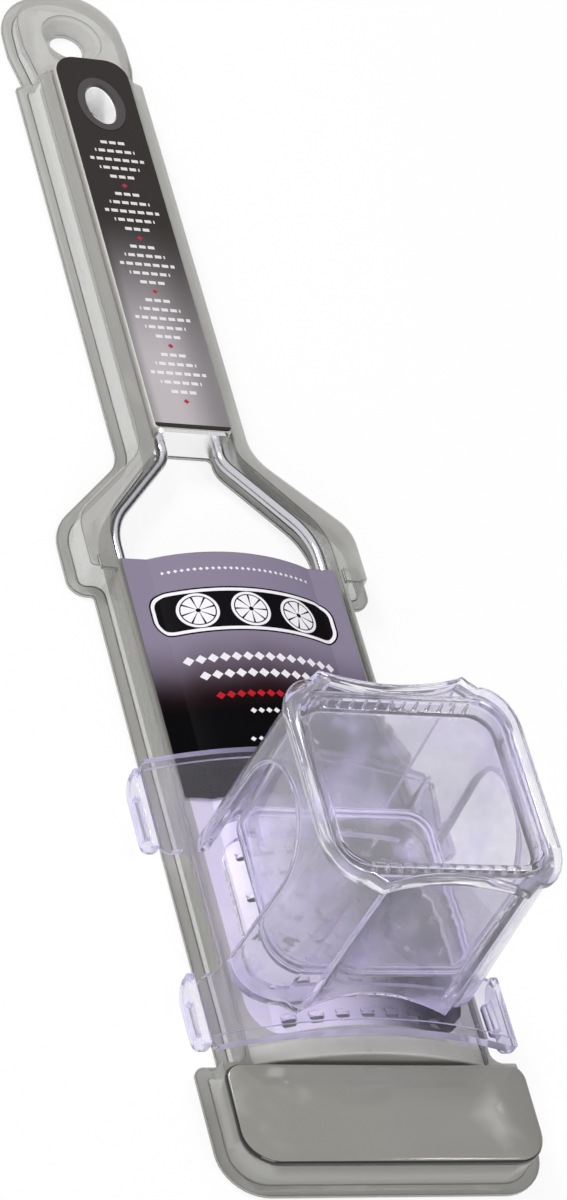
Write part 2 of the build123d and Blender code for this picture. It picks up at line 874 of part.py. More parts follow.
with BuildPart() as pusher_body:
    with BuildSketch(Plane.XY.offset(pusher_bottom)):
        pusher_outline(0, 1)
    with BuildSketch(Plane.XY.offset(pusher_top)):
        pusher_outline(0, 0)
    loft(ruled=True)
    with BuildSketch(Plane.XY.offset(hopper_top + pusher_seat)):
        with Locations((0, along(hopper_centre))):
            RectangleRounded(2 * brim_half_width, 2 * brim_half_length, pusher_corner)
    extrude(amount=rim_thickness - pusher_seat)
    panel_top = pusher_top - recess_depth
    panel_bottom = panel_top - panel_thickness
    with BuildSketch(Plane.XY.offset(panel_top)):
        pusher_outline(pusher_wall, 0)
    extrude(amount=recess_depth, mode=Mode.SUBTRACT)
    with BuildSketch(Plane.XY.offset(pusher_bottom)):
        pusher_outline(pusher_wall, 1)
    with BuildSketch(Plane.XY.offset(panel_bottom)):
        pusher_outline(pusher_wall, 0)
    loft(ruled=True, mode=Mode.SUBTRACT)
pusher_body.part.label = "pusher_body"

with BuildPart() as pusher_plate:
    with BuildSketch(Plane.XY.offset(pusher_bottom - plate_thickness)):
        pusher_outline(plate_inset, 1)
    extrude(amount=plate_thickness)
    with BuildSketch(Plane.XY.offset(pusher_bottom)):
        pusher_outline(pusher_wall + plate_fit, 1)
        with Locations((0, along(hopper_centre))):
            RectangleRounded(
                2 * (pusher_half_width - pusher_wall - plate_rib - pusher_taper_width),
                2 * (pusher_half_length - pusher_wall - plate_rib - pusher_taper_length),
                pusher_corner - pusher_wall - plate_rib,
                mode=Mode.SUBTRACT,
            )
    extrude(amount=plate_thickness)
pusher_plate.part.label = "pusher_plate"

with BuildPart() as prongs:
    with BuildSketch(Plane.XY.offset(pusher_bottom - plate_thickness)):
        with Locations((0, along(hopper_centre))):
            with GridLocations(prong_spacing, prong_spacing, prong_columns, prong_rows):
                Circle(prong_radius)
    extrude(amount=-prong_length, taper=6)
prongs.part.label = "pusher_prongs"

named_parts = [
    carrier_tray,
    left_rod,
    right_rod,
    blade,
    blade_card,
    toe_bar,
    toe_pad,
    lower_shell,
    upper_shell,
    collar,
    tang_block,
    handle_card,
    eyelet,
    saddle,
    *clip_parts.values(),
    hopper,
    hopper_rim,
    pusher_body,
    pusher_plate,
    prongs,
]

os.makedirs("parts", exist_ok=True)
for piece in named_parts:
    export_step(piece.part, f"parts/{piece.part.label}.step")
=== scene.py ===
"""Looks of a wide rasp zester that lies in its clear tray, with its food holder.

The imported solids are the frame. This scene gives each of them its finish, and
replaces the moulded pieces of the food holder with softer, finer forms.
Lengths named here in millimetres are turned into metres where meshes are made.
"""

from __future__ import annotations

import json
import logging
import math
from dataclasses import dataclass, replace
from enum import Enum
from typing import Callable, Iterable, Sequence, Union

import bmesh
import bpy
from mathutils import Matrix, Vector

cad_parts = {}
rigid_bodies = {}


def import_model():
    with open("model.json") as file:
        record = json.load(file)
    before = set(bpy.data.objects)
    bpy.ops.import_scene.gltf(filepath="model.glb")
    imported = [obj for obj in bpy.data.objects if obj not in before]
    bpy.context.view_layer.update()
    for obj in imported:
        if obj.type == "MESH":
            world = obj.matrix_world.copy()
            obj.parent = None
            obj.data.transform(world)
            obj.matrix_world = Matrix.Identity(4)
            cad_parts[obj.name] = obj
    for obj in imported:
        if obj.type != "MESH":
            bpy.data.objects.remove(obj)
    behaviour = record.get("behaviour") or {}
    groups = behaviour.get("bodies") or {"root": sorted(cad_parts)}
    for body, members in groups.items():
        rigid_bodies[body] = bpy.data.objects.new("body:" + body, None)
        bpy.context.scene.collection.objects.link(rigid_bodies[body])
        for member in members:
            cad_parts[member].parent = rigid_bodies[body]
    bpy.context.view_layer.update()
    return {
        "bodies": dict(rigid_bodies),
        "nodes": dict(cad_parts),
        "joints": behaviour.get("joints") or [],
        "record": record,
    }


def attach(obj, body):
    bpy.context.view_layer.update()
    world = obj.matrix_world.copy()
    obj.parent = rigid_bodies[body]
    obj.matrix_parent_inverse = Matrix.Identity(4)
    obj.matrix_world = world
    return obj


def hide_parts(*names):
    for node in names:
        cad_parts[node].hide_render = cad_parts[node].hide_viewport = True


log = logging.getLogger("zester")

MM = 0.001
TRAY_LENGTH = 367.4
MERGE = 0.02
SLIVER = 0.003
FLAT_TO = 0.5
ROUNDED_FROM = 30.0
ROUNDING_STEPS = 2
CUT_FACING = 0.95
BEND = "bend"
MIX_COLOURS = (6, 7)
MIX_RESULT = 2
Colour = tuple[float, float, float]
Point = tuple[float, float]
Place = tuple[float, float, float]
Operand = Union["Field", float]


def along(distance: float) -> float:
    """Y of a place given as its distance from the tray's front end, both in millimetres."""
    return distance - TRAY_LENGTH / 2


def linear(value: int) -> float:
    """Scene-linear value of one on a 0 to 255 screen scale."""
    share = value / 255
    return share / 12.92 if share <= 0.04045 else ((share + 0.055) / 1.055) ** 2.4


def rgb(red: int, green: int, blue: int) -> Colour:
    """Scene-linear colour of three values on a 0 to 255 screen scale."""
    return (linear(red), linear(green), linear(blue))


# Node maths


def combining(operation: str, turned: bool = False) -> Callable[[Field, Operand], Field]:
    """A method of Field that is one Math node.

    Args:
        operation: what the node does.
        turned: put the other operand first, as the reflected operators need.

    Returns:
        The method.
    """

    def method(self: Field, other: Operand) -> Field:
        """Combine this field with another one or a number."""
        return self.graph.math(operation, *((other, self) if turned else (self, other)))

    return method


class Field:
    """A shader socket that can be used in sums like a number."""

    __add__ = combining("ADD")
    __radd__ = combining("ADD", turned=True)
    __sub__ = combining("SUBTRACT")
    __rsub__ = combining("SUBTRACT", turned=True)
    __mul__ = combining("MULTIPLY")
    __rmul__ = combining("MULTIPLY", turned=True)
    __truediv__ = combining("DIVIDE")
    __rtruediv__ = combining("DIVIDE", turned=True)
    below = combining("LESS_THAN")
    above = combining("GREATER_THAN")
    least = combining("MINIMUM")
    most = combining("MAXIMUM")

    def __init__(self, graph: Graph, socket: bpy.types.NodeSocket) -> None:
        """Wrap a socket of a graph."""
        self.graph = graph
        self.socket = socket

    def __abs__(self) -> Field:
        """Value without its sign."""
        return self.graph.math("ABSOLUTE", self)

    def floor(self) -> Field:
        """The whole number below."""
        return self.graph.math("FLOOR", self)

    def fraction(self) -> Field:
        """What is over the whole number below."""
        return self.graph.math("FRACT", self)

    def root(self) -> Field:
        """Square root."""
        return self.graph.math("SQRT", self)

    def swing(self, size: float) -> Field:
        """Noise between 0 and 1 as a swing of a size about zero."""
        return (self - 0.5) * size

    def step(self, low: float, high: float) -> Field:
        """Smooth step from 0 at low to 1 at high.

        Args:
            low: value where the result is 0.
            high: value where the result is 1.

        Returns:
            The stepped field.
        """
        return self.graph.node(
            "ShaderNodeMapRange",
            {"interpolation_type": "SMOOTHSTEP"},
            {"Value": self, "From Min": low, "From Max": high},
        ).field("Result")


class Made:
    """A node that has been placed, with its outputs as fields."""

    def __init__(self, graph: Graph, node: bpy.types.Node) -> None:
        """Wrap a node of a graph."""
        self.graph = graph
        self.node = node

    def field(self, name: str | int = 0) -> Field:
        """One output, by its name or its place in the list."""
        return Field(self.graph, self.node.outputs[name])


class Graph:
    """Builds one node tree, of a new material or of the world."""

    def __init__(self, name: str) -> None:
        """Start a new material."""
        self.material = bpy.data.materials.new(name)
        self.material.use_nodes = True
        self._start(self.material.node_tree)

    @classmethod
    def over(cls, tree: bpy.types.NodeTree) -> Graph:
        """A graph on a tree that is there already."""
        graph = cls.__new__(cls)
        graph._start(tree)
        return graph

    def _start(self, tree: bpy.types.NodeTree) -> None:
        """Take over a tree and empty it."""
        self.tree = tree
        self.tree.nodes.clear()
        self._place: tuple[Field, Field, Field] | None = None

    def node(self, kind: str, settings: dict | None = None, inputs: dict | None = None) -> Made:
        """Place a node: its type and settings first, then its inputs.

        Args:
            kind: the node's type name.
            settings: attributes of the node.
            inputs: values or fields for its input sockets, by name or place.

        Returns:
            The placed node.
        """
        node = self.tree.nodes.new(kind)
        for key, value in (settings or {}).items():
            setattr(node, key, value)
        for key, value in (inputs or {}).items():
            self._feed(node.inputs[key], value)
        return Made(self, node)

    def _feed(self, socket: bpy.types.NodeSocket, value: object) -> None:
        """Link a field to an input socket, or set its value.

        Args:
            socket: the input.
            value: a node, a field, a colour or a number.
        """
        if isinstance(value, Made):
            value = value.field()
        if isinstance(value, Field):
            self.tree.links.new(value.socket, socket)
        elif isinstance(value, tuple) and socket.type == "RGBA":
            socket.default_value = (*value, 1.0)
        else:
            socket.default_value = value

    def math(self, operation: str, *operands: Operand) -> Field:
        """One Math node on fields or numbers."""
        return self.node("ShaderNodeMath", {"operation": operation}, dict(enumerate(operands))).field()

    def place(self) -> tuple[Field, Field, Field]:
        """Object coordinates in millimetres, as three fields."""
        if self._place is None:
            source = self.node("ShaderNodeTexCoord").field("Object")
            split = self.node("ShaderNodeSeparateXYZ", None, {0: source})
            self._place = tuple(split.field(i) * (1 / MM) for i in range(3))
        return self._place

    def point(self, x: Operand, y: Operand, z: Operand) -> Field:
        """Join three fields or numbers into a vector."""
        return self.node("ShaderNodeCombineXYZ", None, {0: x, 1: y, 2: z}).field()

    def noise(self, where: Field, scale: float, detail: float = 2.0, roughness: float = 0.5) -> Field:
        """Smooth noise between 0 and 1.

        Args:
            where: the vector it is sampled at.
            scale: waves per unit.
            detail: octaves.
            roughness: weight of the finer octaves.

        Returns:
            The noise.
        """
        return self.node(
            "ShaderNodeTexNoise",
            {"noise_dimensions": "3D"},
            {"Vector": where, "Scale": scale, "Detail": detail, "Roughness": roughness},
        ).field("Fac")

    def mix(self, amount: Operand, first: object, second: object) -> Field:
        """Blend two colours.

        Args:
            amount: 0 gives the first, 1 the second.
            first: a colour or a field.
            second: a colour or a field.

        Returns:
            The blended colour.
        """
        made = self.node("ShaderNodeMix", {"data_type": "RGBA"}, {"Factor": amount})
        for slot, colour in zip(MIX_COLOURS, (first, second)):
            self._feed(made.node.inputs[slot], colour)
        return made.field(MIX_RESULT)

    def facing(self, blend: float) -> Field:
        """Layer weight that grows towards grazing angles."""
        return self.node("ShaderNodeLayerWeight", None, {"Blend": blend}).field("Facing")

    def steep(self, low: float = 0.2, high: float = 0.9) -> Field:
        """0 on level faces, growing to 1 on upright ones.

        Args:
            low: steepness where it starts.
            high: steepness where it reaches 1.

        Returns:
            The share.
        """
        normal = self.node("ShaderNodeTexCoord").field("Normal")
        upright = self.node("ShaderNodeSeparateXYZ", None, {0: normal}).field(2)
        return (1.0 - abs(upright)).step(low, high)

    def bend(self) -> Field:
        """1 on the faces that a rounding made, 0 elsewhere."""
        return self.node("ShaderNodeAttribute", {"attribute_name": BEND}).field("Fac")

    def bump(self, height: Field, distance: float) -> Field:
        """Normal bent by a height field between 0 and 1, with its depth in millimetres."""
        inputs = {"Height": height, "Distance": distance * MM, "Strength": 1.0}
        return self.node("ShaderNodeBump", None, inputs).field("Normal")

    def shader(self, **sockets: object) -> Field:
        """A Principled shader.

        Args:
            **sockets: inputs of the shader, with underscores for spaces.

        Returns:
            The shader's output.
        """
        inputs = {key.replace("_", " "): value for key, value in sockets.items()}
        return self.node("ShaderNodeBsdfPrincipled", None, inputs).field("BSDF")

    def blend(self, amount: Operand, first: Field, second: Field) -> Field:
        """Blend two shaders: 0 gives the first, 1 the second."""
        return self.node("ShaderNodeMixShader", None, {0: amount, 1: first, 2: second}).field()

    def lit_through(self, shader: Field, tint: Colour) -> Field:
        """Let the lamps' light pass a clear wall, with a tint, instead of casting a shadow.

        Args:
            shader: the wall's own shader.
            tint: colour of the light that passes.

        Returns:
            The blended shader.
        """
        lamp = self.node("ShaderNodeLightPath").field("Is Shadow Ray")
        passing = self.node("ShaderNodeBsdfTransparent", None, {"Color": tint}).field()
        return self.blend(lamp, shader, passing)

    def finish(self, shader: Field) -> bpy.types.Material:
        """Close the tree with a shader."""
        self.node("ShaderNodeOutputMaterial", None, {"Surface": shader})
        return self.material

    def surface(self, **sockets: object) -> bpy.types.Material:
        """Close the tree with one Principled shader, whose inputs are given."""
        return self.finish(self.shader(**sockets))


# Finishes


@dataclass(frozen=True)
class ClearPlastic:
    """Moulded clear plastic: pale seen square on, denser at its edges, with painted reflection blotches,
    more of them low down.
    """

    name: str
    pale: Colour
    deep: Colour
    clearness: float
    index: float
    roughness: float
    # haze: strength of the painted reflection blotches, patches of the opaque edge shader over the clear
    # plastic
    haze: float = 0.0
    haze_size: float = 14.0
    reflection_stretch: float = 0.6
    reflection_edges: Point = (0.48, 0.72)
    reflection_levels: Point = (40.0, 12.0)
    reflection_at_foot: float = 1.2
    reflection_anywhere: float = 0.7
    edge: Colour = rgb(194, 188, 219)
    edge_glow: float = 0.65
    edge_roughness: float = 0.12
    edge_share: float = 0.7
    tint: Colour = (0.95, 0.945, 0.955)
    ripple: float = 0.04
    ripple_size: float = 16.0
    ripple_shade: float = 0.5
    ripple_gloss: float = 0.06

    def _painted_reflections(self, graph: Graph) -> Field:
        """Share of painted reflection blotches at each place, more of them low down."""
        x, y, z = graph.place()
        drift = graph.noise(graph.point(x, y, z * self.reflection_stretch), 1 / self.haze_size, 3.0, 0.6)
        level = z.step(*self.reflection_levels) * self.reflection_at_foot + self.reflection_anywhere
        return drift.step(*self.reflection_edges) * level * self.haze

    def build(self) -> bpy.types.Material:
        """Make the material."""
        graph = Graph(self.name)
        cloud = graph.noise(graph.point(*graph.place()), 1 / self.ripple_size)
        depth = graph.facing(0.3) * self.edge_share + cloud.swing(self.ripple_shade)
        clear = graph.shader(
            Base_Color=graph.mix(depth.least(1.0).most(0.0), self.pale, self.deep),
            Roughness=(self.roughness + cloud.swing(self.ripple_gloss)).most(0.0),
            IOR=self.index,
            Transmission_Weight=self.clearness,
            Normal=graph.bump(cloud, self.ripple),
        )
        glowing = graph.shader(Base_Color=self.edge, Roughness=self.edge_roughness, IOR=self.index)
        # Share of the opaque edge shader: the bends, and the painted reflection blotches
        glow = (graph.bend() * self.edge_glow).most(self._painted_reflections(graph))
        walled = graph.blend(glow, clear, glowing)
        return graph.finish(graph.lit_through(walled, self.tint))


@dataclass(frozen=True)
class FormedSheet:
    """Thin clear grey sheet: dark at its bends, thinner on its walls, with painted light: paler walls, pale
    clouds of painted reflection and a lighter head end.
    """

    name: str = "tray_plastic_look"
    body: Colour = rgb(147, 146, 141)
    # head: painted light, the sheet's colour grows lighter towards the handle end
    head: Colour = rgb(184, 183, 179)
    # cloud: colour of the painted reflection clouds and of the painted light on the walls
    cloud: Colour = rgb(192, 193, 188)
    bend: Colour = rgb(32, 32, 30)
    head_from: float = 60.0
    cover: float = 0.6
    edge_cover: float = 0.15
    bend_cover: float = 0.36
    wall_thinning: float = 0.28
    wall_painted_light: float = 0.6
    block_fade: Point = (34.0, 20.0)
    block_cover: float = 0.1
    block_evenness: float = 0.75
    cloud_size: float = 30.0
    sheen_edges: Point = (0.54, 0.7)
    sheen_share: float = 0.5
    roughness: float = 0.09
    ripple_gloss: float = 0.08
    ripple: float = 0.04

    def build(self) -> bpy.types.Material:
        """Make the material."""
        graph = Graph(self.name)
        x, y, z = graph.place()
        cloud = graph.noise(graph.point(x, y, z), 1 / self.cloud_size, 3.0)
        bend = graph.bend()
        near_block = y.step(*map(along, self.block_fade))
        # Steep walls: a thinner sheet, and painted light that makes them paler; less of both near the end
        # block
        steep = graph.steep() * (1.0 - bend) * (1.0 - near_block * self.block_evenness)
        # pale: painted reflection clouds, or the painted light on the walls where that is more
        pale = (cloud.step(*self.sheen_edges) * self.sheen_share).most(steep * self.wall_painted_light)
        # Painted light: lighter towards the handle end, from head_from on
        colour = graph.mix(y.step(along(self.head_from), along(TRAY_LENGTH)), self.body, self.head)
        colour = graph.mix(pale, colour, self.cloud)
        cover = self.cover + graph.facing(0.35) * self.edge_cover + bend * self.bend_cover
        cover = cover - steep * self.wall_thinning + near_block * self.block_cover
        return graph.surface(
            Base_Color=graph.mix(bend, colour, self.bend),
            Roughness=self.roughness + cloud.swing(self.ripple_gloss),
            Alpha=cover.least(1.0),
            Normal=graph.bump(cloud, self.ripple),
        )


@dataclass(frozen=True)
class Moulded:
    """Opaque moulded plastic or rubber with a fine grain, and lighter where it is worn."""

    name: str
    colour: Colour
    roughness: float
    grain: float
    grain_size: float
    wear_size: float = 12.5
    wear_share: float = 0.6
    wear_gain: float = 1.5
    wear_lift: float = 0.01
    wear_gloss: float = 0.12

    def build(self) -> bpy.types.Material:
        """Make the material."""
        graph = Graph(self.name)
        where = graph.point(*graph.place())
        grain = graph.noise(where, 1 / self.grain_size, 3.0, 0.6)
        wear = graph.noise(where, 1 / self.wear_size)
        lighter = tuple(min(1.0, c * self.wear_gain + self.wear_lift) for c in self.colour)
        return graph.surface(
            Base_Color=graph.mix(wear * self.wear_share, self.colour, lighter),
            Roughness=self.roughness + wear.swing(self.wear_gloss),
            Normal=graph.bump(grain, self.grain),
        )


@dataclass(frozen=True)
class DrawnSteel:
    """Polished steel with fine lines along Y."""

    name: str
    colour: Colour
    roughness: float
    lines_across: float = 6.0
    lines_along: float = 0.05
    line_shade: float = 0.85
    line_gloss: float = 0.12
    line_depth: float = 0.02

    def build(self) -> bpy.types.Material:
        """Make the material."""
        graph = Graph(self.name)
        x, y, z = graph.place()
        where = graph.point(x * self.lines_across, y * self.lines_along, z * self.lines_across)
        lines = graph.noise(where, 1.0, 3.0, 0.65)
        return graph.surface(
            Base_Color=graph.mix(lines, tuple(c * self.line_shade for c in self.colour), self.colour),
            Metallic=1.0,
            Roughness=self.roughness + lines.swing(self.line_gloss),
            Normal=graph.bump(lines, self.line_depth),
        )


@dataclass(frozen=True)
class LinedHole:
    """Dark dished ring with a pale lining inside its oval hole."""

    name: str
    ring: Colour
    lining: Colour
    middle: float = along(319.1)
    half_width: float = 3.9
    half_length: float = 6.8
    slack: float = 0.12
    roughness: float = 0.24
    grain_gloss: float = 0.1
    grain_waves: float = 1.6
    grain: float = 0.01

    def build(self) -> bpy.types.Material:
        """Make the material."""
        graph = Graph(self.name)
        x, y, z = graph.place()
        across = x / (self.half_width + self.slack)
        way = (y - self.middle) / (self.half_length + self.slack)
        inside = (across * across + way * way).below(1.0)
        grain = graph.noise(graph.point(x, y, z), self.grain_waves, 3.0)
        return graph.surface(
            Base_Color=graph.mix(inside, self.ring, self.lining),
            Roughness=self.roughness + grain.swing(self.grain_gloss),
            Normal=graph.bump(grain, self.grain),
        )


@dataclass(frozen=True)
class EtchedBlade:
    """Etched blade with a painted sheen: light on its left half and dark on its right."""

    name: str = "etched_blade_look"
    # light and dark: the two sides of the painted sheen
    light: Colour = rgb(192, 188, 199)
    dark: Colour = rgb(30, 27, 35)
    margin: Colour = rgb(150, 149, 144)
    foot: float = 36.4
    half: float = 26.4
    corner: float = 9.0
    sweep: Point = (-12.0, 16.0)
    sweep_middle: float = along(50.0)
    sweep_lean: float = 0.15
    sweep_drift: float = 4.0
    lines_across: float = 3.0
    lines_along: float = 0.06
    line_gloss: float = 0.12
    line_depth: float = 0.03
    roughness: float = 0.34

    def build(self) -> bpy.types.Material:
        """Make the material."""
        graph = Graph(self.name)
        x, y, z = graph.place()
        where = graph.point(x * self.lines_across, y * self.lines_along, z)
        lines = graph.noise(where, 1.0, 3.0, 0.6)
        # Painted sheen: a leaning, wavering line parts the light left side from the dark right side
        leaning = x + (y - self.sweep_middle) * self.sweep_lean + lines.swing(self.sweep_drift)
        painted_sheen = graph.mix(leaning.step(*self.sweep), self.light, self.dark)
        across = (abs(x) - (self.half - self.corner)).most(0.0)
        down = (along(self.foot + self.corner) - y).most(0.0)
        plain = (across * across + down * down).root().above(self.corner)
        return graph.surface(
            Base_Color=graph.mix(plain, painted_sheen, self.margin),
            Metallic=0.12,
            Roughness=self.roughness + lines.swing(self.line_gloss),
            Specular_IOR_Level=0.2,
            Normal=graph.bump(lines, self.line_depth),
        )


@dataclass(frozen=True)
class HandlePrint:
    """Film on the handle: dark at its head, paler towards the blade, with lozenges of dashes."""

    name: str = "handle_film_look"
    head: Colour = rgb(42, 38, 37)
    foot: Colour = rgb(178, 172, 176)
    ink: Colour = rgb(226, 222, 224)
    accent: Colour = rgb(168, 40, 62)
    fade: Point = (281.0, 226.0)
    right_shade: Point = (-3.0, 9.0)
    right_depth: float = 0.56
    left_shade: Point = (-7.5, -10.3)
    left_depth: float = 0.4
    row_pitch: float = 3.0
    rows_a_group: float = 6.0
    column_pitch: float = 2.4
    widest: float = 7.4
    narrowest: float = 1.6
    dash_half_length: float = 0.9
    dash_half_width: float = 0.5
    diamond_half: float = 0.8
    ink_share: float = 0.85
    first: float = along(217.0)
    last: float = along(307.0)
    end: float = along(210.4)
    end_width: float = 0.7
    grain_waves: float = 1.2
    relief: float = 0.01

    def _ground(self, graph: Graph, x: Field, y: Field) -> Field:
        """The fade along the film, with its shaded sides."""
        colour = graph.mix(y.step(*map(along, self.fade)), self.head, self.foot)
        right = x.step(*self.right_shade) * self.right_depth
        return graph.mix(right.most(x.step(*self.left_shade) * self.left_depth), colour, self.head)

    def build(self) -> bpy.types.Material:
        """Make the material."""
        graph = Graph(self.name)
        x, y, z = graph.place()
        row = (y - self.first) / self.row_pitch
        off_row = abs(row.fraction() - 0.5) * self.row_pitch
        rank = ((row.floor() / self.rows_a_group).fraction() * self.rows_a_group + 0.5).floor()
        swell = 1.0 - abs(rank - self.rows_a_group / 2) / (self.rows_a_group / 2)
        half = swell * (self.widest - self.narrowest) + self.narrowest
        stagger = (rank * 0.5).fraction()
        off_column = abs((x / self.column_pitch + stagger).fraction() - 0.5) * self.column_pitch
        inside = (y - self.first).above(0.0) * (y - self.last).below(0.0)
        dash = off_column.below(self.dash_half_length) * off_row.below(self.dash_half_width)
        dash = dash * abs(x).below(half) * rank.above(0.5) * inside
        diamond = (abs(x) + off_row).below(self.diamond_half) * rank.below(0.5) * inside
        colour = graph.mix(dash * self.ink_share, self._ground(graph, x, y), self.ink)
        colour = graph.mix(diamond, colour, self.accent)
        return graph.surface(
            # A band in the head's colour along the film's end: a painted shade line
            Base_Color=graph.mix((y - self.end).below(self.end_width), colour, self.head),
            Roughness=0.42,
            Specular_IOR_Level=0.22,
            Normal=graph.bump(graph.noise(graph.point(x, y, z), self.grain_waves), self.relief),
        )


@dataclass(frozen=True)
class DiamondRow:
    """One row of diamonds across the blade's film."""

    at: float
    half_width: float
    pitch: float
    size: float

    def field(self, x: Field, s: Field) -> Field:
        """1 inside the diamonds, 0 elsewhere."""
        column = abs((x / self.pitch).fraction() - 0.5) * self.pitch
        return (column + abs(s - self.at)).below(self.size) * abs(x).below(self.half_width)


@dataclass(frozen=True)
class BladePrint:
    """Film on the blade: a mauve sky over black, with a framed row of fruit slices."""

    name: str = "blade_film_look"
    sky: Colour = rgb(132, 124, 144)
    dusk: Colour = rgb(43, 22, 26)
    night: Colour = rgb(4, 3, 5)
    panel: Colour = rgb(14, 12, 16)
    ink: Colour = rgb(232, 229, 234)
    accent: Colour = rgb(176, 30, 40)
    dusk_fade: Point = (150.0, 128.0)
    dusk_drift: float = 6.0
    dusk_arch: float = 0.12
    night_fade: Point = (136.0, 122.0)
    haze_size: float = 20.0
    haze_relief: float = 0.05
    panel_at: float = 152.5
    panel_half_width: float = 24.0
    panel_half_length: float = 6.6
    panel_corner: float = 5.0
    frame_inset: float = 0.9
    frame_half_width: float = 0.45
    slice_pitch: float = 13.0
    slice_radius: float = 5.0
    slice_turn: float = 0.3
    wedges: int = 8
    wedge_share: float = 0.42
    pith: float = 1.0
    peel_half_width: float = 0.35
    core: float = 0.6
    row_share: float = 0.9
    rows: tuple[DiamondRow, ...] = (
        DiamondRow(164.6, 19.0, 1.5, 0.5),
        DiamondRow(138.4, 19.6, 2.8, 1.3),
        DiamondRow(133.6, 16.8, 2.8, 1.3),
        DiamondRow(122.6, 7.6, 1.9, 0.8),
        DiamondRow(114.6, 9.5, 1.9, 0.7),
    )
    accent_row: DiamondRow = DiamondRow(127.6, 14.4, 2.4, 1.1)

    def _outside_panel(self, x: Field, v: Field) -> Field:
        """Signed distance outside the panel's rounded frame, in millimetres."""
        dx = (abs(x) - (self.panel_half_width - self.panel_corner)).most(0.0)
        dv = (abs(v) - (self.panel_half_length - self.panel_corner)).most(0.0)
        return (dx * dx + dv * dv).root() - self.panel_corner

    def _slices(self, graph: Graph, x: Field, v: Field) -> Field:
        """Three fruit slices, each a ring of peel round wedges of flesh."""
        cell = (x / self.slice_pitch + 0.5).floor()
        u = x - cell * self.slice_pitch
        radius = (u * u + v * v).root()
        angle = graph.math("ARCTAN2", v, u)
        spoke = abs((angle * (self.wedges / (2 * math.pi)) + cell * self.slice_turn).fraction() - 0.5)
        flesh = radius.below(self.slice_radius - self.pith) * spoke.below(self.wedge_share)
        peel = abs(radius - (self.slice_radius - self.peel_half_width)).below(self.peel_half_width)
        return (flesh * radius.above(self.core)).most(peel) * abs(cell).below(1.5)

    def _ground(self, graph: Graph, x: Field, s: Field, haze: Field) -> Field:
        """The sky, the dusk and the night, from the handle to the toe."""
        height = s + haze.swing(self.dusk_drift) + abs(x) * self.dusk_arch
        colour = graph.mix(height.step(*self.dusk_fade), self.sky, self.dusk)
        return graph.mix(s.step(*self.night_fade), colour, self.night)

    def build(self) -> bpy.types.Material:
        """Make the material."""
        graph = Graph(self.name)
        x, y, z = graph.place()
        s = y - along(0.0)
        v = s - self.panel_at
        haze = graph.noise(graph.point(x, y, z), 1 / self.haze_size)
        gap = self._outside_panel(x, v)
        colour = graph.mix(gap.below(0.0), self._ground(graph, x, s, haze), self.panel)
        inked = abs(gap + self.frame_inset).below(self.frame_half_width).most(self._slices(graph, x, v))
        for row in self.rows:
            inked = inked.most(row.field(x, s) * self.row_share)
        colour = graph.mix(inked, colour, self.ink)
        return graph.surface(
            Base_Color=graph.mix(self.accent_row.field(x, s), colour, self.accent),
            Roughness=0.3,
            Specular_IOR_Level=0.03,
            Normal=graph.bump(haze, self.haze_relief),
        )


class Finish(Enum):
    """Every finish of the object, by what it is on."""

    TRAY = FormedSheet()
    # The end block: the same sheet with a darker body, painted shade of the hollow under its dome
    BLOCK = replace(
        TRAY,
        name="end_block_look",
        body=rgb(133, 132, 126),
        cover=0.8,
        edge_cover=0.1,
        bend_cover=0.15,
        wall_painted_light=0.3,
    )
    # haze: how much painted reflection the holder and the pusher carry
    HOLDER = ClearPlastic(
        "holder_plastic_look", rgb(238, 237, 241), rgb(162, 158, 190), 0.95, 1.38, 0.02, haze=0.3
    )
    BAND = ClearPlastic("holder_band_look", rgb(238, 236, 243), rgb(160, 154, 205), 0.98, 1.2, 0.02)
    PUSHER = ClearPlastic(
        "pusher_plastic_look", rgb(241, 240, 243), rgb(174, 170, 198), 0.95, 1.3, 0.03, haze=0.25
    )
    GRIP = Moulded("grip_look", rgb(168, 167, 162), 0.35, 0.03, 0.6)
    END_BAR = Moulded("end_bar_look", rgb(150, 149, 144), 0.3, 0.02, 0.6)
    INNER = Moulded("inner_look", rgb(52, 52, 52), 0.6, 0.03, 0.6)
    EYELET = LinedHole("eyelet_look", rgb(66, 60, 63), (1.0, 1.0, 1.0))
    PAD = Moulded("pad_look", rgb(30, 30, 31), 0.75, 0.05, 0.5)
    WIRE = DrawnSteel("wire_look", (0.64, 0.63, 0.68), 0.14)
    COLLAR = DrawnSteel("collar_look", (0.98, 0.98, 0.98), 0.12)
    BLADE = EtchedBlade()
    HANDLE_FILM = HandlePrint()
    BLADE_FILM = BladePrint()

    def material(self) -> bpy.types.Material:
        """This finish's material, made once."""
        return bpy.data.materials.get(self.value.name) or self.value.build()


# Mesh work


